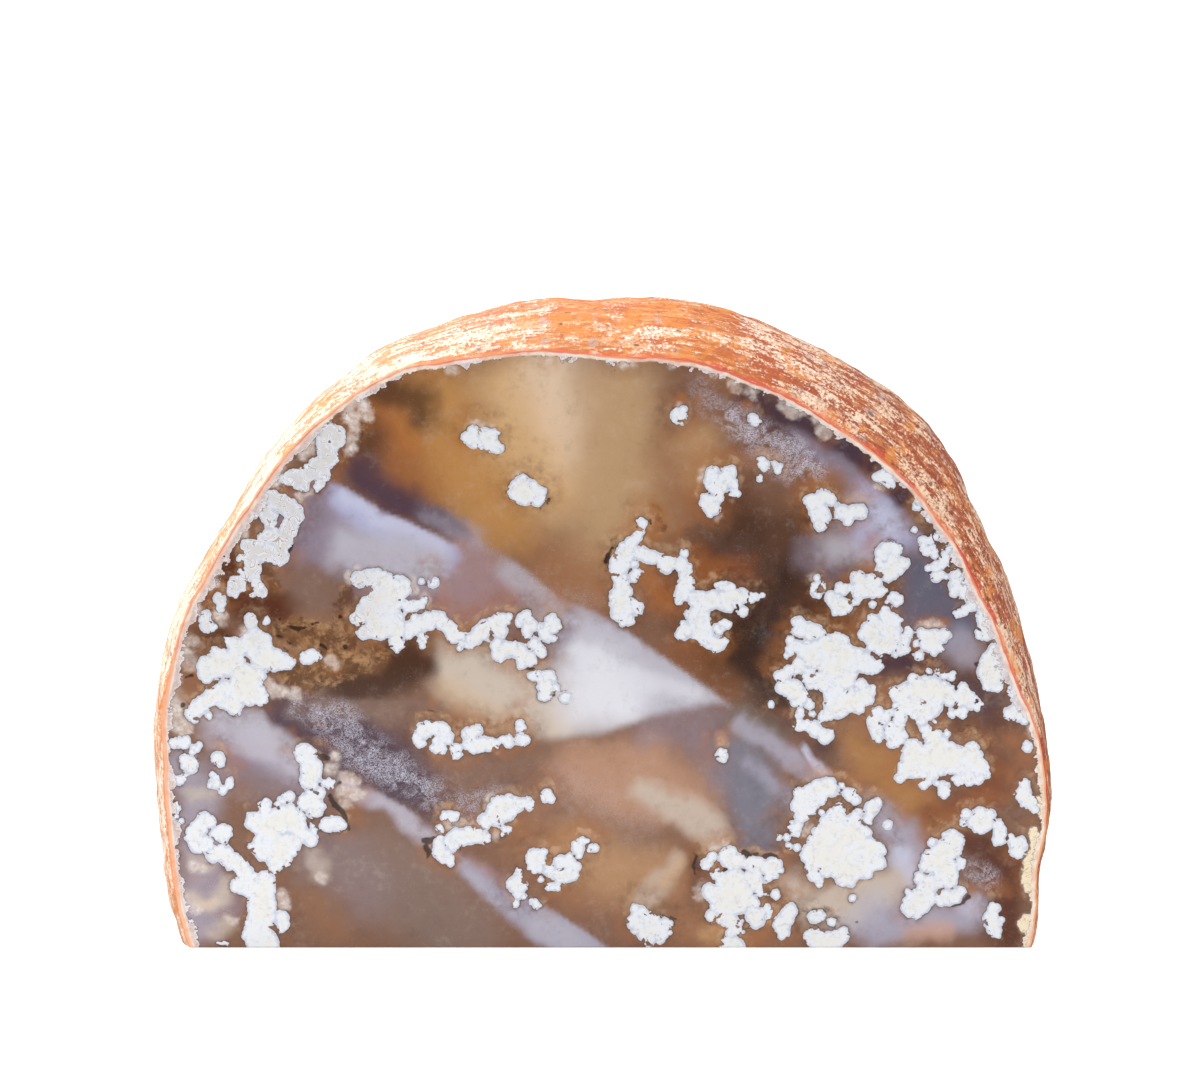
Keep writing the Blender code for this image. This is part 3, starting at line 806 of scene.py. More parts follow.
def lobed_depth(points, body, lobes, reach):
    """Depth inside a body and its lobes, and how near a lobe's middle each point is."""
    best = body.copy()
    middle = np.ones(len(points))
    order = np.argsort(points[:, 0])
    x_sorted = points[order, 0]
    for cx, cy, radius in lobes:
        big = radius + reach
        first, last = np.searchsorted(x_sorted, (cx - big, cx + big))
        near = order[first:last]
        near = near[np.abs(points[near, 1] - cy) < big]
        gap = np.hypot(points[near, 0] - cx, points[near, 1] - cy)
        inside = radius - gap
        better = inside > best[near]
        best[near[better]] = inside[better]
        middle[near[better]] = 1.0 - gap[better] / radius
    return best, middle


def to_sheet(x, z):
    """Where a point of the polished face lies on the drawing sheet."""
    ahead = DISTANCE - (z - TARGET.z) * math.sin(ELEVATION)
    across = SHEET_WIDTH / 2 + UNITS * (x - TARGET.x) / ahead
    down = SHEET_HEIGHT / 2 - UNITS * (z - TARGET.z) * math.cos(ELEVATION) / ahead
    return across, down


# ---- the nodule --------------------------------------------------------------
def round_table(table, degrees):
    """Smooth closed curve through a table of (angle, value)."""
    angle = (degrees + 90.0) % 360.0 - 90.0
    count = len(table)
    start = -1
    for index, (at, _value) in enumerate(table):
        if at <= angle:
            start = index

    def entry(index):
        turns, place = divmod(index, count)
        return table[place][0] + 360.0 * turns, table[place][1]

    (a0, v0), (a1, v1) = entry(start - 1), entry(start)
    (a2, v2), (a3, v3) = entry(start + 1), entry(start + 2)
    width = a2 - a1
    t = (angle - a1) / width
    slope1 = (v2 - v0) / (a2 - a0) * width
    slope2 = (v3 - v1) / (a3 - a1) * width
    return ((2 * t ** 3 - 3 * t ** 2 + 1) * v1 + (t ** 3 - 2 * t ** 2 + t) * slope1
            + (3 * t ** 2 - 2 * t ** 3) * v2 + (t ** 3 - t ** 2) * slope2)


def nodule_point(angle, rise):
    """The rind's point at an angle round the face and a rise from rim (0) to back (pi/2)."""
    sine, cosine = math.sin(rise), max(math.cos(rise), 0.0)
    back = max(sine, 0.0) ** (2.0 / ROUNDNESS)
    inward = cosine ** (2.0 / ROUNDNESS)
    peak = FLARE_RISE / (FLARE_RISE + FLARE_FALL)
    swell = (back ** FLARE_RISE * max(1.0 - back, 0.0) ** FLARE_FALL
             / (peak ** FLARE_RISE * (1.0 - peak) ** FLARE_FALL))
    degrees = math.degrees(angle)
    radius = 0.001 * (round_table(RIM, degrees) * inward
                      + round_table(FLARE, degrees) * swell)
    flat = Vector((math.cos(angle), 0.0, math.sin(angle)))
    point = Vector((CENTRE_X, FACE_Y + DEPTH * back, CENTRE_Z)) + flat * radius
    lump = noise.noise(point / LUMP_SIZE) + 0.35 * noise.noise(point / (0.5 * LUMP_SIZE))
    fade = min(back / 0.25, 1.0)
    outward = (flat * inward + Vector((0.0, back, 0.0))).normalized()
    point += outward * (LUMP * lump * fade * fade * (3.0 - 2.0 * fade))
    # the fine relief of the rind: knobs, ridges and pits
    deep = DEPTH * back
    settle = min(deep / 0.0025, 1.0)
    knobs = (0.00034 * noise.noise(point / 0.0062) + 0.00022 * noise.noise(point / 0.0029)
             - 0.00045 * max(noise.noise(point / 0.0041 + Vector((9.1, 2.2, 4.7))) - 0.28, 0.0) * 2.0)
    rugged = min(max((deep - 0.008) / 0.022, 0.0), 1.0)
    knobs += rugged * (0.00060 * noise.noise(point / 0.0095 + Vector((3.3, 8.1, 1.9)))
                       - 0.0016 * max(noise.noise(point / 0.0068 + Vector((5.2, 1.4, 8.8))) - 0.22, 0.0))
    point += outward * (knobs * (0.15 + 0.85 * settle))
    # the rim is a little ragged where the saw came through
    ragged = 0.00030 * noise.noise(point / 0.0085) + 0.00018 * noise.noise(point / 0.0033)
    point += flat * (ragged * math.exp(-deep / 0.005))
    return point


def rise_table():
    """Rise against the share of the way from rim to back along a middling profile."""
    rises = np.linspace(0.0, math.pi / 2, 2000)
    across = 0.078 * np.cos(rises).clip(0) ** (2.0 / ROUNDNESS)
    along = DEPTH * np.sin(rises) ** (2.0 / ROUNDNESS)
    way = np.concatenate([[0.0], np.cumsum(np.hypot(np.diff(across), np.diff(along)))])
    return way / way[-1], rises


def build_rind(bm, net):
    """The rind as a square net drawn over the half ball, cut off at the base."""
    way, rises = rise_table()
    count = RIND_CELLS + 1
    rows = []
    for j in range(count):
        row = []
        for i in range(count):
            u, v = 2.0 * i / RIND_CELLS - 1.0, 2.0 * j / RIND_CELLS - 1.0
            if u == 0.0 and v == 0.0:
                reach, angle = 0.0, 0.0
            elif abs(u) > abs(v):
                reach, angle = abs(u), math.pi / 4 * v / u + (0.0 if u > 0 else math.pi)
            else:
                reach, angle = abs(v), math.pi / 2 - math.pi / 4 * u / v + (0.0 if v > 0 else math.pi)
            rise = float(np.interp(1.0 - reach, way, rises))
            point = nodule_point(angle, rise)
            if reach == 1.0:
                point.y = FACE_Y + EDGE
            else:
                point.y = max(point.y, FACE_Y + EDGE * 1.6)
            if abs(point.z) < 0.00022:
                point.z = 0.0
            vert = bm.verts.new(point)
            vert[net[0]], vert[net[1]] = u, v
            row.append(vert)
        rows.append(row)
    for j in range(RIND_CELLS):
        for i in range(RIND_CELLS):
            face = bm.faces.new((rows[j][i], rows[j][i + 1], rows[j + 1][i + 1], rows[j + 1][i]))
            face.material_index = 1
    bmesh.ops.bisect_plane(bm, geom=bm.verts[:] + bm.edges[:] + bm.faces[:], dist=1e-7,
                           plane_co=(0, 0, 0), plane_no=(0, 0, -1), clear_outer=True)
    loose = [v for v in bm.verts if not v.link_faces]
    bmesh.ops.delete(bm, geom=loose, context="VERTS")


def outline_distance(points, outline):
    """Distance in metres from points of the face to the rim's polyline."""
    best = np.full(len(points), 1.0)
    for (ax, az), (bx, bz) in zip(outline[:-1], outline[1:]):
        px, pz = points[:, 0] - ax, points[:, 1] - az
        dx, dz = bx - ax, bz - az
        t = np.clip((px * dx + pz * dz) / (dx * dx + dz * dz + 1e-18), 0.0, 1.0)
        best = np.minimum(best, np.hypot(px - dx * t, pz - dz * t))
    return best


def staggered(x0, x1, z0, z1, step):
    rows = np.arange(z0, z1, step * math.sqrt(3) / 2)
    made = []
    for index, z in enumerate(rows):
        xs = np.arange(x0 + (step / 2 if index % 2 else 0.0), x1, step)
        made.append(np.column_stack([xs, np.full(len(xs), z)]))
    return np.concatenate(made)


def face_points(outline):
    """Points inside the face: close together along the plumes' edges, wider elsewhere."""
    low, high = outline.min(0), outline.max(0)

    def inside(points, margin):
        angle = np.arctan2(points[:, 1] - CENTRE_Z, points[:, 0] - CENTRE_X)
        rim_angle = np.arctan2(outline[:, 1] - CENTRE_Z, outline[:, 0] - CENTRE_X)
        rim_angle = np.where(rim_angle < -math.pi / 2, rim_angle + 2 * math.pi, rim_angle)
        angle = np.where(angle < -math.pi / 2, angle + 2 * math.pi, angle)
        order = np.argsort(rim_angle)
        rim_reach = np.hypot(outline[:, 0] - CENTRE_X, outline[:, 1] - CENTRE_Z)
        reach = np.hypot(points[:, 0] - CENTRE_X, points[:, 1] - CENTRE_Z)
        limit = np.interp(angle, rim_angle[order], rim_reach[order])
        limit = np.where((angle < rim_angle.min()) | (angle > rim_angle.max()), 1.0, limit)
        return (reach < limit - margin) & (points[:, 1] > EDGE + margin)

    def edge_gap(points):
        sheet = np.column_stack(to_sheet(points[:, 0], points[:, 1]))
        gap = np.full(len(points), 30.0)
        for chains in (WHITE, CREAM, DARK, HOLES):
            gap = np.minimum(gap, np.abs(chain_distance(sheet, chains, 12.0)))
        return gap

    coarse = staggered(low[0], high[0], low[1], high[1], COARSE)
    coarse = coarse[inside(coarse, 0.55 * COARSE)]
    fine = staggered(low[0], high[0], low[1], high[1], FINE)
    fine = fine[inside(fine, 0.9 * FINE)]
    reach = 3.2
    coarse = coarse[edge_gap(coarse) > reach + 1.2]
    fine = fine[edge_gap(fine) < reach]
    return np.concatenate([coarse, fine])


def build_stone():
    bm = bmesh.new()
    net = (bm.verts.layers.float.new("net_u"), bm.verts.layers.float.new("net_v"))
    build_rind(bm, net)
    # the ring behind the polished face, from the left end of the base to the right
    ring = [v for v in bm.verts if abs(v.co.y - (FACE_Y + EDGE)) < 2e-7]

    def turn(vert):
        angle = math.atan2(vert.co.z - CENTRE_Z, vert.co.x - CENTRE_X)
        return angle if angle > -math.pi / 2 else angle + 2 * math.pi

    ring.sort(key=turn, reverse=True)
    ring[0].co.z = ring[-1].co.z = 0.0
    # the face's own outline, one worn edge further in
    front = []
    for index, vert in enumerate(ring):
        before, after = ring[max(index - 1, 0)].co, ring[min(index + 1, len(ring) - 1)].co
        along = (after - before).normalized()
        point = vert.co + Vector((along.z, 0.0, -along.x)) * EDGE
        point.y = FACE_Y
        if index in (0, len(ring) - 1):
            point.z = EDGE
        point.z = max(point.z, EDGE)
        front.append(bm.verts.new(point))
    for index in range(len(ring) - 1):
        strip = bm.faces.new((ring[index], ring[index + 1], front[index + 1], front[index]))
        strip.material_index = 1
    # along the bottom, the worn edge between the face and the base
    steps = 200
    left, right = ring[0], ring[-1]
    lower, upper = [left], [front[0]]
    for index in range(1, steps):
        share = index / steps
        lower.append(bm.verts.new(left.co.lerp(right.co, share)))
        upper.append(bm.verts.new(front[0].co.lerp(front[-1].co, share)))
    lower.append(right)
    upper.append(front[-1])
    for index in range(steps):
        bm.faces.new((lower[index], lower[index + 1], upper[index + 1], upper[index]))
    # the polished face
    loop = front + upper[-2:0:-1]
    outline = np.array([(v.co.x, v.co.z) for v in front])
    inner = face_points(outline)
    flat = [Vector((v.co.x * 1000, v.co.z * 1000)) for v in loop]
    flat += [Vector((x * 1000, z * 1000)) for x, z in inner]
    edges = [(i, (i + 1) % len(loop)) for i in range(len(loop))]
    verts2, _edges, faces, source, _e, _f = geometry.delaunay_2d_cdt(flat, edges, [], 1, 1e-5)
    made = []
    for index, place in enumerate(verts2):
        from_loop = [s for s in source[index] if s < len(loop)]
        if from_loop:
            made.append(loop[from_loop[0]])
        else:
            made.append(bm.verts.new((place.x / 1000, FACE_Y, place.y / 1000)))
    for corners in faces:
        corners = [made[c] for c in corners]
        if len(set(corners)) > 2:
            bm.faces.new(corners)
    # the sawn base
    sole = [e for e in bm.edges if len(e.link_faces) == 1
            and abs(e.verts[0].co.z) < 1e-7 and abs(e.verts[1].co.z) < 1e-7]
    filled = bmesh.ops.triangle_fill(bm, edges=sole, use_beauty=True)
    for face in filled["geom"]:
        if isinstance(face, bmesh.types.BMFace):
            face.material_index = 2
    bmesh.ops.recalc_face_normals(bm, faces=bm.faces[:])
    open_edges = sum(1 for e in bm.edges if len(e.link_faces) != 2)
    mesh = bpy.data.meshes.new("geode_stone")
    net_u = np.array([v[net[0]] for v in bm.verts])
    net_v = np.array([v[net[1]] for v in bm.verts])
    bm.to_mesh(mesh)
    bm.free()
    print("stone: open edges", open_edges, "triangles",
          sum(len(p.vertices) - 2 for p in mesh.polygons), "face points", len(inner))
    return mesh, outline, net_u, net_v


# ---- markings carried by the points of the face -------------------------------
def paint(mesh, outline):
    count = len(mesh.vertices)
    co = np.empty(count * 3, np.float32)
    mesh.vertices.foreach_get("co", co)
    co = co.reshape(-1, 3).astype(float)
    front = np.nonzero(co[:, 1] < FACE_Y + 0.0008)[0]
    across, down = to_sheet(co[front, 0], co[front, 2])
    sheet = np.column_stack([across, down])
    warp = np.column_stack([grain(sheet, 62.0, 1.0) * 11 + grain(sheet, 23.0, 2.0) * 5,
                            grain(sheet, 58.0, 3.0) * 10 + grain(sheet, 21.0, 4.0) * 5])
    bent = sheet + warp
    bent = bent + np.column_stack([grain(sheet, 9.0, 9.0), grain(sheet, 9.0, 10.0)]) * 3.0
    crisp = sheet + warp * 0.07 + np.column_stack([grain(sheet, 7.0, 7.0), grain(sheet, 7.0, 8.0)]) * 1.3
    colour = np.tile(np.array(linear(BASE_CLOUD)), (len(front), 1))
    for name, opacity, soft, chain, *limits in CLOUDS:
        inside = chain_distance(bent, [chain], soft * 1.5)
        cover = opacity * ramp(inside, -soft, soft * 0.35)
        for side, line, sharp in limits:
            level = np.interp(crisp[:, 0], [p[0] for p in line], [p[1] for p in line])
            under = crisp[:, 1] - level
            cover = cover * ramp(under if side == "under" else -under, -sharp * 0.5, sharp * 0.5)
        colour += (np.array(linear(name)) - colour) * cover[:, None]
    small = sheet + np.column_stack([grain(sheet, 9.0, 5.0), grain(sheet, 9.0, 6.0)]) * 1.2
    white = chain_distance(small, WHITE, 24.0)
    holes = chain_distance(sheet, HOLES, 24.0)
    body = np.minimum(white, -holes)
    wavy = sheet + (small - sheet) * 0.5
    plume, middle = lobed_depth(wavy, body - 1.5, round_lobes(WHITE, HOLES, 4.3, 11), 24.0)
    cream = chain_distance(small, CREAM, 24.0)
    cream, _ = lobed_depth(wavy, cream - 1.5, round_lobes(CREAM, HOLES, 5.6, 12), 24.0)
    dark = chain_distance(sheet, DARK, 24.0)
    # mossy halos lie mostly above each plume
    moss = chain_distance(sheet + np.array([0.0, 7.0]) + warp * 0.35, WHITE, 34.0)
    beside = chain_distance(sheet + warp * 0.35, WHITE + CREAM, 34.0)
    near_halo = np.maximum(ramp(moss, -9.0, -1.0), 0.7 * ramp(beside, -7.0, -1.0))
    far_halo = np.maximum(ramp(moss, -26.0, -6.0), 0.6 * ramp(beside, -17.0, -4.0))
    calm = 1.0 - 0.80 * ramp(chain_distance(sheet + warp * 0.5, CALM, 30.0), -14.0, 4.0)
    near_halo, far_halo = near_halo * (0.3 + 0.7 * calm), far_halo * calm
    film = np.zeros(len(front))
    for opacity, soft, chain in FILM:
        film = np.maximum(film, opacity * ramp(chain_distance(bent, [chain], soft * 1.5), -soft, soft * 0.4))
    sand = np.zeros(len(front))
    for opacity, soft, chain in SAND:
        sand = np.maximum(sand, opacity * ramp(chain_distance(crisp, [chain], soft * 1.5), -soft, soft * 0.4))
    mossy = np.zeros(len(front))
    for opacity, soft, chain in MOSS:
        mossy = np.maximum(mossy, opacity * ramp(chain_distance(bent, [chain], soft * 1.5), -soft, soft * 0.4))
    rim = np.full(len(front), 1.0)
    border = np.nonzero(np.hypot((co[front, 0] - CENTRE_X), (co[front, 2] - CENTRE_Z)) > 0.066)[0]
    rim[border] = outline_distance(co[front][border][:, [0, 2]], outline)

    def carry(name, values, blank):
        full = np.full(count, blank, np.float32)
        full[front] = values
        mesh.attributes.new(name, "FLOAT", "POINT").data.foreach_set("value", full)

    carry("plume", plume * UNIT_MM, -4.0)
    carry("middle", middle, 1.0)
    carry("cream", cream * UNIT_MM, -4.0)
    carry("dark", dark * UNIT_MM, -4.0)
    carry("near_halo", near_halo, 0.0)
    carry("far_halo", far_halo, 0.0)
    carry("film", film, 0.0)
    carry("sand", sand, 0.0)
    carry("mossy", mossy, 0.0)
    carry("rim", rim * 1000.0, 20.0)
    full = np.ones((count, 4), np.float32)
    full[front, :3] = np.clip(colour, 0.0, 1.0)
    mesh.attributes.new("clouds", "FLOAT_COLOR", "POINT").data.foreach_set("color", full.ravel())


def unwrap(mesh, net_u, net_v):
    """Face above, rind below: the face takes most of the map."""
    layer = mesh.uv_layers.new(name="OFBake")
    corners = np.empty(len(mesh.loops), np.int32)
    mesh.loops.foreach_get("vertex_index", corners)
    starts = np.empty(len(mesh.polygons), np.int32)
    totals = np.empty(len(mesh.polygons), np.int32)
    kinds = np.empty(len(mesh.polygons), np.int32)
    mesh.polygons.foreach_get("loop_start", starts)
    mesh.polygons.foreach_get("loop_total", totals)
    mesh.polygons.foreach_get("material_index", kinds)
    kind = np.repeat(kinds, totals)
    co = np.empty(len(mesh.vertices) * 3, np.float32)
    mesh.vertices.foreach_get("co", co)
    co = co.reshape(-1, 3)[corners]
    uv = np.zeros((len(corners), 2), np.float32)
    on_face = kind == 0
    uv[on_face, 0] = 0.005 + (co[on_face, 0] + 0.080) / 0.160 * 0.99
    uv[on_face, 1] = 0.36 + (co[on_face, 2] - co[on_face, 1] + FACE_Y) / 0.116 * 0.635
    on_rind = kind == 1
    uv[on_rind, 0] = 0.01 + (net_u[corners][on_rind] + 1) / 2 * 0.80
    uv[on_rind, 1] = 0.01 + (net_v[corners][on_rind] + 1) / 2 * 0.335
    # the worn strip round the face has no place in the rind's net of its own
    strip = on_rind & (co[:, 1] < FACE_Y + EDGE * 0.5)
    on_base = kind == 2
    uv[on_base, 0] = 0.84 + (co[on_base, 0] + 0.080) / 0.160 * 0.15
    uv[on_base, 1] = 0.02 + (co[on_base, 1] + 0.031) / 0.062 * 0.12
    return layer, uv, strip, corners


# ---- materials -----------------------------------------------------------------
class Recipe:
    """Small helper that wires the nodes of one material."""

    def __init__(self, name):
        self.material = bpy.data.materials.new(name)
        self.material.use_nodes = True
        self.tree = self.material.node_tree
        self.shader = self.tree.nodes["Principled BSDF"]
        place = self.tree.nodes.new("ShaderNodeTexCoord")
        scale = self.tree.nodes.new("ShaderNodeVectorMath")
        scale.operation = "SCALE"
        scale.inputs["Scale"].default_value = 1000.0
        self.tree.links.new(place.outputs["Object"], scale.inputs[0])
        self.mm = scale.outputs[0]

    def put(self, socket, value):
        if isinstance(value, bpy.types.NodeSocket):
            self.tree.links.new(value, socket)
        elif isinstance(value, str):
            socket.default_value = (*linear(value), 1.0)
        else:
            socket.default_value = value

    def math(self, operation, a, b=0.0, clamp=False):
        node = self.tree.nodes.new("ShaderNodeMath")
        node.operation = operation
        node.use_clamp = clamp
        self.put(node.inputs[0], a)
        self.put(node.inputs[1], b)
        return node.outputs[0]

    def add(self, *values):
        total = values[0]
        for value in values[1:]:
            total = self.math("ADD", total, value)
        return total

    def mul(self, *values):
        total = values[0]
        for value in values[1:]:
            total = self.math("MULTIPLY", total, value)
        return total

    def step(self, value, low, high, start=0.0, end=1.0):
        node = self.tree.nodes.new("ShaderNodeMapRange")
        node.interpolation_type = "SMOOTHSTEP"
        self.put(node.inputs["Value"], value)
        node.inputs["From Min"].default_value = low
        node.inputs["From Max"].default_value = high
        node.inputs["To Min"].default_value = start
        node.inputs["To Max"].default_value = end
        return node.outputs["Result"]

    def mix(self, factor, a, b, kind="MIX"):
        node = self.tree.nodes.new("ShaderNodeMix")
        node.data_type = "RGBA"
        node.blend_type = kind
        self.put(node.inputs[0], factor)
        self.put(node.inputs[6], a)
        self.put(node.inputs[7], b)
        return node.outputs[2]

    def noise(self, size, detail=3.0, rough=0.5, twist=0.0, shift=(0, 0, 0), stretch=(1, 1, 1),
              turn=0.0, where=None):
        node = self.tree.nodes.new("ShaderNodeTexNoise")
        mapping = self.tree.nodes.new("ShaderNodeMapping")
        mapping.inputs["Location"].default_value = shift
        mapping.inputs["Rotation"].default_value = (0.0, turn, 0.0)
        mapping.inputs["Scale"].default_value = stretch
        self.tree.links.new(where or self.mm, mapping.inputs["Vector"])
        self.tree.links.new(mapping.outputs[0], node.inputs["Vector"])
        node.inputs["Scale"].default_value = 1.0 / size
        node.inputs["Detail"].default_value = detail
        node.inputs["Roughness"].default_value = rough
        node.inputs["Distortion"].default_value = twist
        return node.outputs["Fac"]

    def cells(self, size, feature="F1", where=None, smooth=0.0, shift=(0, 0, 0)):
        node = self.tree.nodes.new("ShaderNodeTexVoronoi")
        node.feature = feature
        mapping = self.tree.nodes.new("ShaderNodeMapping")
        mapping.inputs["Location"].default_value = shift
        self.tree.links.new(where or self.mm, mapping.inputs["Vector"])
        self.tree.links.new(mapping.outputs[0], node.inputs["Vector"])
        node.inputs["Scale"].default_value = 1.0 / size
        if feature == "SMOOTH_F1":
            node.inputs["Smoothness"].default_value = smooth
        return node.outputs["Distance"]

    def mark(self, name, colour=False):
        node = self.tree.nodes.new("ShaderNodeAttribute")
        node.attribute_name = name
        return node.outputs["Color" if colour else "Fac"]

    def axes(self):
        node = self.tree.nodes.new("ShaderNodeSeparateXYZ")
        self.tree.links.new(self.mm, node.inputs[0])
        return node.outputs

    def bump(self, height, distance, strength=1.0):
        node = self.tree.nodes.new("ShaderNodeBump")
        node.inputs["Strength"].default_value = strength
        node.inputs["Distance"].default_value = distance
        self.tree.links.new(height, node.inputs["Height"])
        return node.outputs[0]


def polished_face():
    r = Recipe("polished_agate")
    x, _y, z = r.axes()
    clouds = r.mark("clouds", True)
    low_right = r.mul(r.step(x, 54.0, 66.0), r.step(z, 44.0, 30.0))
    shoulder = r.mul(r.step(x, -34.0, -44.0), r.step(z, 54.0, 64.0))
    # fine cloudiness of the clear agate
    drift = r.noise(10.0, 3.0, 0.55, 0.0)
    cloudy = r.noise(3.0, 4.0, 0.62, 0.0, shift=(3, 1, 2))
    tone = r.add(r.mul(r.math("SUBTRACT", drift, 0.5), 0.36), r.mul(r.math("SUBTRACT", cloudy, 0.5), 0.44))
    wisp = r.noise(1.1, 4.0, 0.7, 0.4, shift=(7, 3, 5))
    tone = r.add(tone, r.mul(r.math("SUBTRACT", wisp, 0.5), 0.52))
    base = r.mix(r.step(tone, 0.0, 0.25, 0.0, 0.11), clouds, "#d9ccc0")
    base = r.mix(r.step(tone, 0.0, -0.25, 0.0, 0.19), base, "umber")
    # mottled brown moss
    moss = r.noise(1.5, 4.0, 0.65, 0.2, shift=(4, 4, 4))
    clump = r.noise(2.4, 4.0, 0.72, 0.3, shift=(2, 0, 6))
    mossy = r.mark("mossy")
    cover = r.step(r.add(mossy, r.mul(r.math("SUBTRACT", moss, 0.5), 1.6)), 0.35, 0.80)
    moss_tint = r.mix(r.step(clump, 0.42, 0.64), "#4a3024", "#b08a64")
    moss_tint = r.mix(r.step(r.noise(3.2, 2.0, 0.5, shift=(2, 7, 7)), 0.50, 0.66, 0.0, 0.7), moss_tint, "#7d5738")
    base = r.mix(r.mul(cover, 0.70), base, moss_tint)
    # thin white film of fine worms, dust and sand
    film = r.mark("film")
    sand = r.mark("sand")
    gather = r.noise(3.0, 3.0, 0.6, 1.0, shift=(5, 8, 1))
    worms = r.math("ABSOLUTE", r.math("SUBTRACT", r.noise(0.52, 3.0, 0.6, 1.6, shift=(8, 2, 4)), 0.5))
    lace = r.mul(r.step(worms, 0.070, 0.015), r.step(gather, 0.34, 0.54), film)
    haze = r.mul(r.step(gather, 0.30, 0.70), film)
    dust = r.step(r.noise(0.22, 2.0, 0.7, shift=(1, 4, 9)), 0.65, 0.76)
    drifted = r.step(r.noise(5.0, 3.0, 0.6, 0.5, shift=(2, 2, 6)), 0.44, 0.66)
    base = r.mix(r.mul(haze, 0.09), base, "fog")
    base = r.mix(r.mul(lace, 0.72), base, "#cfcede")
    grit = r.step(r.add(r.noise(0.20, 2.0, 0.7, shift=(9, 4, 1)), r.mul(sand, 0.08)), 0.60, 0.76)
    base = r.mix(r.mul(sand, r.step(gather, 0.30, 0.62), 0.14), base, "fog")
    base = r.mix(r.mul(grit, sand, 0.55), base, "#dcdae2")
    base = r.mix(r.mul(dust, drifted, 0.34), base, "milk")

    # round lobes that shape every plume, and the glow around them
    plume = r.mark("plume")
    lobes = r.cells(1.55, "F1", shift=(0.3, 0, 0.1))
    beads = r.cells(0.80, "F1", shift=(0.0, 5.0, 0.0))
    seams = r.cells(1.55, "DISTANCE_TO_EDGE", shift=(0.3, 0, 0.1))
    scallop = r.add(r.mul(r.math("SUBTRACT", 0.48, lobes), 0.58), r.mul(r.math("SUBTRACT", 0.48, beads), 0.34))
    patch = r.noise(8.5, 2.0, 0.5, 0.3, shift=(7, 0, 3))
    far = r.mul(r.mark("far_halo"), r.step(r.add(r.mul(moss, 0.8), r.mul(patch, 0.7)), 0.52, 0.92))
    base = r.mix(r.mul(far, 0.50), base, r.mix(r.step(patch, 0.44, 0.60), "#5a3626", "#9c6238"))
    near = r.mark("near_halo")
    tube = r.mul(r.step(r.add(near, r.mul(scallop, 0.7), r.mul(r.math("SUBTRACT", moss, 0.5), 1.6)), 0.30, 1.15),
                 r.step(patch, 0.34, 0.56))
    halo_tint = r.mix(r.step(moss, 0.36, 0.66), "#9a6e4a", "#d9bb9a")
    base = r.mix(r.mul(tube, 0.34), base, halo_tint)

    # creamy plumes that lie a little below the surface: pale rims, duller inside
    cream_edge = r.add(r.mark("cream"), r.mul(scallop, 0.5), r.mul(r.math("SUBTRACT", moss, 0.5), 1.6))
    cream_body = r.mul(r.step(cream_edge, -0.55, 0.70), r.step(r.noise(3.4, 3.0, 0.6, shift=(4, 2, 9)), 0.30, 0.56, 0.45, 1.0))
    cream_tint = r.mix(r.step(r.noise(1.5, 3.0, 0.6), 0.40, 0.62), "#cdb9ae", "#e8e2df")
    cream_tint = r.mix(r.mul(r.step(seams, 0.16, 0.02), 0.22), cream_tint, "#a88a74")
    cream_tint = r.mix(r.step(cream_edge, 0.50, 0.15, 0.0, 0.5), cream_tint, "#e9e0da")
    base = r.mix(r.mul(cream_body, r.add(0.66, r.mul(shoulder, 0.22))), base, cream_tint)
    # low at the right the border swells into crisp buff lobes
    buff_rim = r.mul(r.step(cream_edge, -0.85, -0.15), low_right)
    base = r.mix(r.mul(buff_rim, 0.45), base, "#6d4a36")
    swirl = r.math("ABSOLUTE", r.math("SUBTRACT", r.noise(1.3, 1.0, 0.55, 1.2, shift=(2, 6, 8)), 0.5))
    buff = r.mix(r.step(swirl, 0.040, 0.006, 0.0, 0.55), "#efe1c4", "#c9955a")
    base = r.mix(r.mul(r.step(cream_edge, -0.10, 0.16), low_right, 0.88), base, buff)

    # black mineral specks
    specks = r.step(r.add(r.mark("dark"), r.mul(r.math("SUBTRACT", moss, 0.5), 0.9)), -0.10, 0.20)
    base = r.mix(r.mul(specks, 0.86), base, "#231a1c")

    # the white plumes
    bays = r.step(r.noise(2.3, 3.0, 0.62, 0.5, shift=(1, 7, 2)), 0.55, 0.70)
    edge = r.add(plume, 0.09, r.mul(bays, -0.75), r.mul(scallop, 0.42), r.mul(r.math("SUBTRACT", r.noise(0.55, 3.0, 0.6), 0.5), 0.44))
    shade = r.mul(r.step(edge, -0.75, -0.05), r.step(r.noise(5.0, 3.0, 0.6, shift=(5, 9, 2)), 0.34, 0.62))
    base = r.mix(r.mul(shade, 0.50), base, "#6d4a36")
    outline = r.mul(r.step(edge, -0.26, -0.07), r.step(moss, 0.40, 0.56))
    base = r.mix(r.mul(outline, 0.62), base, "#33221c")
    body = r.step(edge, -0.06, 0.08)
    creamy = r.mul(r.step(r.noise(6.0, 3.0, 0.6, shift=(6, 1, 1)), 0.32, 0.54), r.step(plume, 0.2, 1.2))
    white = r.mix(r.mul(creamy, 0.80), "#dfe2e8", "#e2dfd8")
    soft_fold = r.step(r.noise(1.3, 3.0, 0.6, 0.3, shift=(3, 9, 5)), 0.40, 0.66)
    white = r.mix(r.mul(soft_fold, r.step(beads, 0.36, 0.70), 0.16), white, "#a9b0c2")
    lobe_rim = r.mul(r.step(r.mark("middle"), 0.50, 0.04), r.step(edge, 1.3, 0.6))
    white = r.mix(r.mul(lobe_rim, 0.52), white, "#a6abbe")
    crease = r.step(r.math("ABSOLUTE", r.math("SUBTRACT", r.noise(1.7, 3.0, 0.6, 0.9, shift=(9, 9, 3)), 0.5)), 0.028, 0.004)
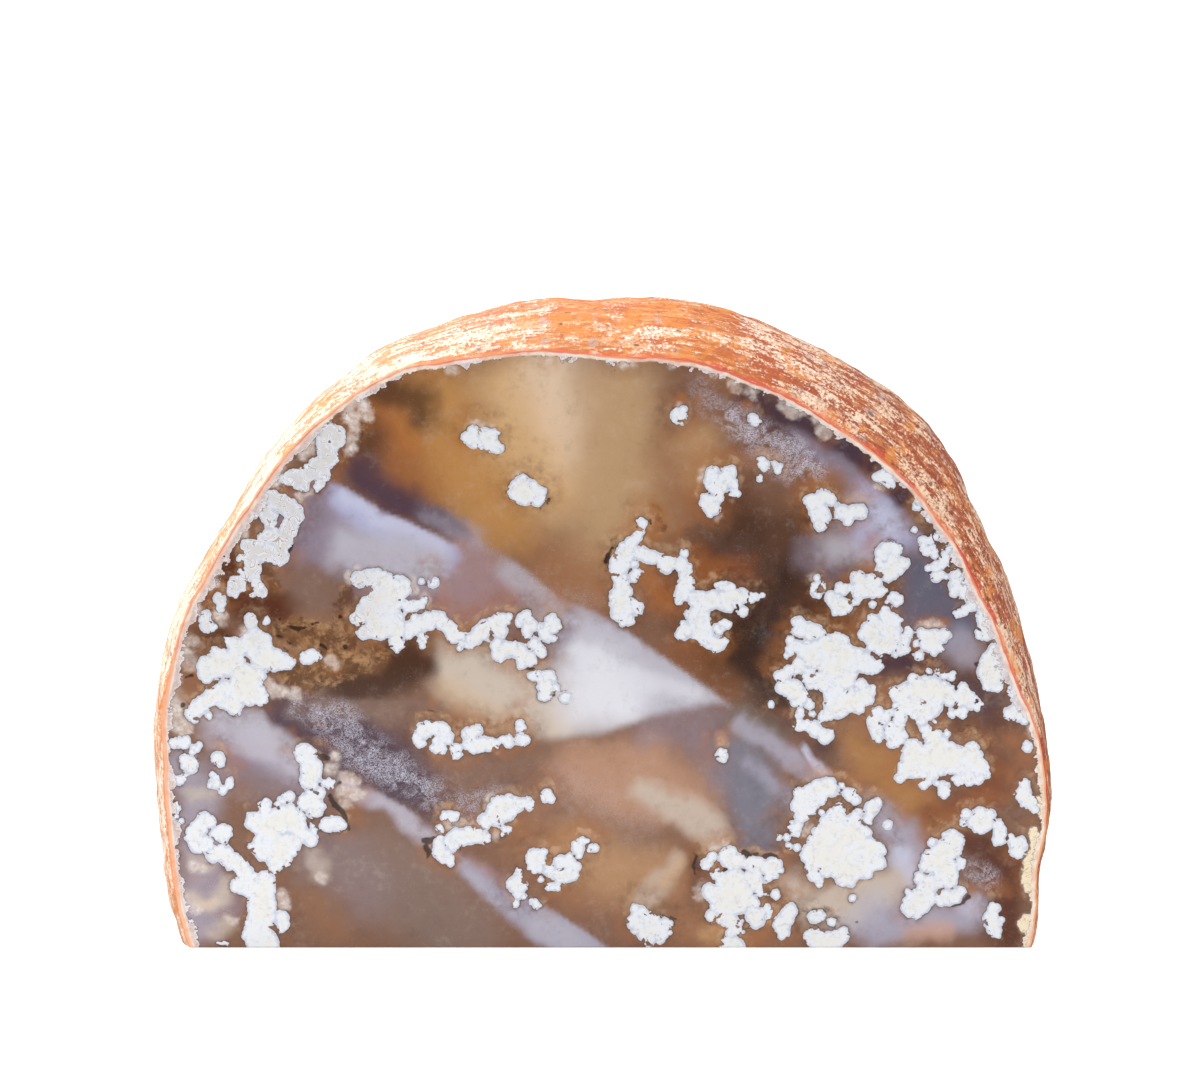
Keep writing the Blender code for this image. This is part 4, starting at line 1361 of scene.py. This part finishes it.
    white = r.mix(r.mul(crease, r.step(edge, 2.2, 0.5), soft_fold, 0.55), white, "#aaa4a4")
    # on the left shoulder the plumes are greyer and folded in thick curls
    folds = r.math("ABSOLUTE", r.math("SUBTRACT", r.noise(3.1, 1.0, 0.5, 1.5, shift=(4, 1, 6)), 0.5))
    white = r.mix(r.mul(shoulder, r.step(edge, 0.25, 0.80), 0.36), white, "#aea7a9")
    white = r.mix(r.mul(shoulder, r.step(folds, 0.060, 0.030), 0.55), white, "#eceaee")
    white = r.mix(r.mul(shoulder, r.step(folds, 0.018, 0.005), r.step(edge, 0.1, 0.4), 0.70), white, "#8d786c")
    white = r.mix(r.step(edge, 0.40, 0.12, 0.0, 0.24), white, "#b2bbcf")
    white = r.mix(r.step(edge, 0.13, 0.03, 0.0, 0.55), white, "#e2e8f4")
    base = r.mix(body, base, white)

    # the border: a beaded pale fringe and the thin red and cream skin
    rim = r.mark("rim")
    side = r.step(x, -20.0, -66.0)
    right = r.step(x, 30.0, 62.0)
    width = r.add(0.85, r.mul(low_right, -0.5), r.mul(side, 0.6), r.mul(right, 0.6),
                  r.mul(r.math("SUBTRACT", r.noise(5.0, 4.0, 0.66), 0.5), 5.2))
    knobs = r.noise(1.5, 2.0, 0.6, 0.0, shift=(8, 3, 3))
    fringe_edge = r.add(r.math("SUBTRACT", width, rim), r.mul(scallop, 0.7), r.mul(r.math("SUBTRACT", knobs, 0.5), 2.6))
    fringe = r.step(fringe_edge, -0.06, 0.10)
    base = r.mix(r.mul(r.step(fringe_edge, -0.30, -0.06), 0.5), base, "#5a3d30")
    bead_tint = r.mix(r.step(r.noise(2.0, 3.0, 0.6, shift=(1, 1, 7)), 0.38, 0.62), "#cdbfc2", "#e4dee2")
    bead_tint = r.mix(r.mul(side, 0.45), bead_tint, "#dcc3b6")
    bead_tint = r.mix(r.mul(low_right, 0.8), bead_tint, "#eedcb4")
    curls = r.math("ABSOLUTE", r.math("SUBTRACT", r.noise(1.5, 3.0, 0.55, 1.0, shift=(6, 6, 2)), 0.5))
    bead_tint = r.mix(r.mul(r.step(curls, 0.040, 0.006), 0.50), bead_tint, "#b0927c")
    bead_tint = r.mix(r.step(fringe_edge, 0.34, 0.08, 0.0, 0.75), bead_tint, "#eeebf0")
    base = r.mix(r.mul(fringe, 0.88), base, bead_tint)
    band = r.step(r.add(rim, r.mul(r.math("SUBTRACT", r.noise(1.8, 2.0), 0.5), 0.5)), 0.95, 0.60)
    base = r.mix(r.mul(band, 0.85), base, r.mix(r.step(r.noise(3.0, 2.0), 0.4, 0.6), "#e6bca8", "#f0ddcc"))
    low_left = r.mul(r.step(x, -62.0, -72.0), r.step(z, 60.0, 46.0))
    skin = r.step(r.add(rim, r.mul(r.math("SUBTRACT", r.noise(2.0, 3.0), 0.5), 0.6), r.mul(low_left, -0.30)), 0.36, 0.18)
    skin_tint = r.mix(r.step(r.noise(9.0, 2.0, shift=(3, 3, 3)), 0.44, 0.58), "#d65c4a", "#e28e64")
    skin_tint = r.mix(low_left, skin_tint, "#ee9550")
    skin_tint = r.mix(low_right, skin_tint, "#dba06c")
    base = r.mix(r.mul(skin, r.step(x, -80.0, 40.0, 0.65, 1.0), 0.88), base, skin_tint)

    r.put(r.shader.inputs["Base Color"], base)
    r.shader.inputs["Roughness"].default_value = 0.12
    r.shader.inputs["Specular IOR Level"].default_value = 0.36
    r.shader.inputs["IOR"].default_value = 1.54
    return r.material


def natural_rind():
    r = Recipe("natural_rind")
    x, y, z = r.axes()
    # a coordinate that runs round the stone, so that the grain follows the rim
    lift = r.math("SUBTRACT", z, CENTRE_Z * 1000)
    round_it = r.mul(r.math("ARCTAN2", x, lift), 76.0)
    reach = r.math("SQRT", r.add(r.mul(x, x), r.mul(lift, lift)))
    join = r.tree.nodes.new("ShaderNodeCombineXYZ")
    r.put(join.inputs[0], r.mul(round_it, 0.19))
    r.put(join.inputs[1], y)
    r.put(join.inputs[2], reach)
    ring = join.outputs[0]
    side = r.step(reach, 34.0, 56.0)

    def both(size, detail, rough, twist=0.0, shift=(0, 0, 0)):
        loose = r.noise(size, detail, rough, twist, shift=shift)
        laid = r.noise(size, detail, rough, twist, shift=shift, where=ring)
        return r.add(loose, r.mul(side, r.math("SUBTRACT", laid, loose)))

    big = r.noise(13.0, 4.0, 0.6, 0.5)
    blotch = both(2.5, 7.0, 0.72, 0.35, shift=(2, 5, 3))
    fleck = both(0.9, 5.0, 0.74, 0.6, shift=(8, 1, 6))
    dustn = r.noise(0.5, 4.0, 0.7, shift=(3, 3, 8))
    pore = r.cells(2.3, "F1", shift=(1, 2, 3))
    right = r.step(x, 5.0, 60.0)
    rear = r.step(y, -14.0, 8.0)
    # painted highlight: this mask makes the rind's left front paler where the key light falls
    left = r.mul(r.step(x, 20.0, -50.0), r.step(y, 6.0, -16.0, 0.12, 1.0))
    # orange and rust earth over pale chalk; on the left, towards the front, both are painted paler: a painted highlight
    # where the key light falls
    earth = r.mix(r.step(fleck, 0.40, 0.60), "#c46a34", "#e09a60")
    earth = r.mix(r.mul(r.step(big, 0.44, 0.58), 0.7), earth, "#b8552f")
    rust = r.mix(r.step(dustn, 0.40, 0.60), "#702c1c", "#a84a2c")
    earth = r.mix(r.mul(right, r.step(fleck, 0.66, 0.46), 0.85), earth, rust)
    earth = r.mix(r.mul(left, 0.45), earth, "#e8b084")
    chalk = r.mix(r.step(dustn, 0.38, 0.62), "#e0b993", "#f7e9da")
    chalk = r.mix(r.mul(right, 0.40), chalk, "#d8aa82")
    chalk = r.mix(r.mul(left, 0.8), chalk, "#f6e6d4")
    # more pale chalk on the left: painted highlight
    cover = r.add(blotch, r.mul(r.math("SUBTRACT", fleck, 0.5), 0.8), r.mul(r.math("SUBTRACT", big, 0.5), 0.45),
                  r.mul(r.math("SUBTRACT", dustn, 0.5), 0.7), r.mul(left, 0.07), r.mul(right, 0.005), -0.012,
                  r.mul(r.step(x, -46.0, -10.0), r.step(x, 30.0, 6.0), -0.045))
    base = r.mix(r.step(cover, 0.47, 0.59, 0.0, 0.94), earth, chalk)
    # ochre stains, grey quartz showing through, and dark pits
    crown = r.mul(r.step(x, -30.0, -5.0), r.step(x, 34.0, 8.0))
    ochre = r.mul(r.step(r.add(r.noise(5.0, 4.0, 0.65, shift=(1, 8, 8)), r.mul(crown, 0.06)), 0.54, 0.64), 0.66)
    base = r.mix(ochre, base, "#d9863c")
    grey = r.mul(r.step(r.noise(3.6, 3.0, 0.6, shift=(11, 3, 2)), 0.63, 0.69), 0.6)
    base = r.mix(grey, base, "#b8a6a2")
    pits = r.mul(r.step(pore, 0.26, 0.12), r.step(fleck, 0.48, 0.60))
    base = r.mix(r.mul(pits, 0.8), base, "#4e2a20")
    # gullies, hollows and darker earth towards the back
    gully = r.step(r.math("ABSOLUTE", r.math("SUBTRACT", r.noise(11.0, 5.0, 0.62, 0.9, shift=(2, 8, 5)), 0.5)), 0.030, 0.004)
    hollow = r.step(r.cells(6.5, "F1", shift=(5, 5, 2)), 0.46, 0.24)
    base = r.mix(r.mul(gully, rear, 0.50), base, "#7c4028")
    base = r.mix(r.mul(hollow, rear, r.step(big, 0.60, 0.44), 0.42), base, "#7a4430")
    base = r.mix(r.mul(rear, r.step(big, 0.56, 0.40), 0.35), base, "#a85a34")
    cracks = r.step(r.math("ABSOLUTE", r.math("SUBTRACT", both(1.9, 4.0, 0.62, 0.8, shift=(4, 9, 9)), 0.5)), 0.020, 0.002)
    base = r.mix(r.mul(cracks, 0.42), base, "#8e4a30")
    # the skin beside the polished face: red line, then pale
    deep = r.math("SUBTRACT", y, FACE_Y * 1000)
    wobble = r.mul(r.math("SUBTRACT", r.noise(3.0, 3.0), 0.5), 1.4)
    line = r.step(r.add(deep, r.mul(wobble, 0.9)), 0.48, 0.12)
    # the red line is painted paler orange on the left: painted highlight
    line_tint = r.mix(r.mul(left, 0.75), r.mix(r.step(big, 0.44, 0.56), "#cc4634", "#de7c4e"), "#ee9450")
    base = r.mix(r.mul(line, 0.72), base, line_tint)
    r.put(r.shader.inputs["Base Color"], base)
    r.put(r.shader.inputs["Roughness"], r.step(blotch, 0.3, 0.7, 0.62, 0.85))
    r.shader.inputs["IOR"].default_value = 1.5
    height = r.add(r.mul(blotch, 0.5), r.mul(fleck, 0.35), r.mul(r.step(pore, 0.0, 0.35), 0.25),
                   r.mul(dustn, 0.16), r.mul(gully, rear, -0.5), r.mul(hollow, rear, -0.35))
    r.tree.links.new(r.bump(height, 0.0010, 0.8), r.shader.inputs["Normal"])
    return r.material


def sawn_base():
    r = Recipe("sawn_base")
    x, y, z = r.axes()
    cloud = r.noise(9.0, 4.0, 0.6, 0.8)
    band = r.noise(3.0, 4.0, 0.6, 1.5, stretch=(1, 0.4, 1))
    base = r.mix(r.step(cloud, 0.38, 0.62), "#6f5a4e", "#a3958c")
    base = r.mix(r.step(band, 0.58, 0.66, 0.0, 0.8), base, "#ded9d4")
    r.put(r.shader.inputs["Base Color"], base)
    r.shader.inputs["Roughness"].default_value = 0.6
    marks = r.noise(0.5, 2.0, 0.5, 0.0, stretch=(0.05, 1, 1))
    r.tree.links.new(r.bump(marks, 0.0002, 0.4), r.shader.inputs["Normal"])
    return r.material


# ---- build ----------------------------------------------------------------------
mesh, rim_outline, net_u, net_v = build_stone()
paint(mesh, rim_outline)
layer, uv, strip, corners = unwrap(mesh, net_u, net_v)
# give the worn strip the place of the rind's outermost ring
starts = uv.copy()
outer = np.maximum(np.abs(net_u), np.abs(net_v))
if strip.any():
    ring_ids = np.nonzero(outer > 0.9999)[0]
    ring_co = np.array([mesh.vertices[int(i)].co[:] for i in ring_ids])
    strip_ids = corners[strip]
    unique, back = np.unique(strip_ids, return_inverse=True)
    unique_co = np.array([mesh.vertices[int(i)].co[:] for i in unique])
    nearest = np.array([int(ring_ids[np.argmin(np.hypot(ring_co[:, 0] - p[0], ring_co[:, 2] - p[2]))])
                        for p in unique_co])
    grown = 1.012
    uv[strip, 0] = 0.01 + (net_u[nearest][back] * grown + 1) / 2 * 0.80
    uv[strip, 1] = 0.01 + (net_v[nearest][back] * grown + 1) / 2 * 0.335
layer.data.foreach_set("uv", uv.ravel())
for material in (polished_face(), natural_rind(), sawn_base()):
    mesh.materials.append(material)
mesh.shade_smooth()
mesh.set_sharp_from_angle(angle=math.radians(32.0))
stone = bpy.data.objects.new("geode_stone", mesh)
bpy.context.scene.collection.objects.link(stone)
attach(stone, "root")
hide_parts("geode_half")

# ---- floor, light and camera --------------------------------------------------------
scene = bpy.context.scene
scene.view_settings.view_transform = "Standard"

bm = bmesh.new()
FLOOR_FRONT = FACE_Y - 0.135
corners4 = [bm.verts.new(p) for p in ((-1.6, FLOOR_FRONT, 0), (1.6, FLOOR_FRONT, 0), (1.6, 2.2, 0), (-1.6, 2.2, 0))]
bm.faces.new(corners4)
floor_mesh = bpy.data.meshes.new("floor")
bm.to_mesh(floor_mesh)
bm.free()
floor_recipe = Recipe("white_floor")
floor_path = floor_recipe.tree.nodes.new("ShaderNodeLightPath")
direct = floor_path.outputs["Is Camera Ray"]
floor_recipe.put(floor_recipe.shader.inputs["Base Color"], floor_recipe.mix(direct, "#b4b4b4", "#f8f8f8"))
floor_recipe.shader.inputs["Roughness"].default_value = 0.95
floor_recipe.shader.inputs["Specular IOR Level"].default_value = 0.1
floor_recipe.shader.inputs["Emission Color"].default_value = (1, 1, 1, 1)
floor_recipe.put(floor_recipe.shader.inputs["Emission Strength"], floor_recipe.mul(direct, 0.28))
floor_mesh.materials.append(floor_recipe.material)
floor = bpy.data.objects.new("floor", floor_mesh)
scene.collection.objects.link(floor)

world = bpy.data.worlds.new("studio")
scene.world = world
world.use_nodes = True
tree = world.node_tree
tree.nodes.clear()
out = tree.nodes.new("ShaderNodeOutputWorld")
seen = tree.nodes.new("ShaderNodeBackground")
seen.inputs["Color"].default_value = (1, 1, 1, 1)
seen.inputs["Strength"].default_value = 1.0
lit = tree.nodes.new("ShaderNodeBackground")
path = tree.nodes.new("ShaderNodeLightPath")
pick = tree.nodes.new("ShaderNodeMixShader")
place = tree.nodes.new("ShaderNodeTexCoord")
split = tree.nodes.new("ShaderNodeSeparateXYZ")
height = tree.nodes.new("ShaderNodeMapRange")
height.inputs["From Min"].default_value = -0.06
height.inputs["From Max"].default_value = 0.15
height.inputs["To Min"].default_value = 0.06
height.inputs["To Max"].default_value = 0.62
tree.links.new(place.outputs["Generated"], split.inputs[0])
tree.links.new(split.outputs["Z"], height.inputs["Value"])
tree.links.new(height.outputs["Result"], lit.inputs["Strength"])
lit.inputs["Color"].default_value = (1, 1, 1, 1)
tree.links.new(path.outputs["Is Camera Ray"], pick.inputs[0])
tree.links.new(lit.outputs[0], pick.inputs[1])
tree.links.new(seen.outputs[0], pick.inputs[2])
tree.links.new(pick.outputs[0], out.inputs["Surface"])


def softbox(name, place, aim, size, power):
    light = bpy.data.lights.new(name, "AREA")
    light.shape = "RECTANGLE"
    light.size, light.size_y = size
    light.energy = power
    made = bpy.data.objects.new(name, light)
    made.location = place
    made.rotation_euler = (Vector(aim) - Vector(place)).to_track_quat("-Z", "Y").to_euler()
    scene.collection.objects.link(made)


middle = (0.0, 0.0, 0.05)
softbox("key", (-0.80, 0.25, 0.75), middle, (0.6, 0.6), 13.0)
softbox("fill", (0.10, -1.1, 0.80), middle, (0.9, 0.6), 13.5)
softbox("right", (0.9, 0.0, 0.6), middle, (0.5, 0.6), 2.0)

camera_data = bpy.data.cameras.new("camera")
camera_data.lens = LENS
camera_data.sensor_width = 36.0
camera_data.clip_start, camera_data.clip_end = 0.01, 50.0
camera = bpy.data.objects.new("camera", camera_data)
camera.location = TARGET - Vector((0.0, math.cos(ELEVATION), -math.sin(ELEVATION))) * DISTANCE
camera.rotation_euler = (math.radians(90.0) - ELEVATION, 0.0, 0.0)
scene.collection.objects.link(camera)
scene.camera = camera

bpy.context.view_layer.update()
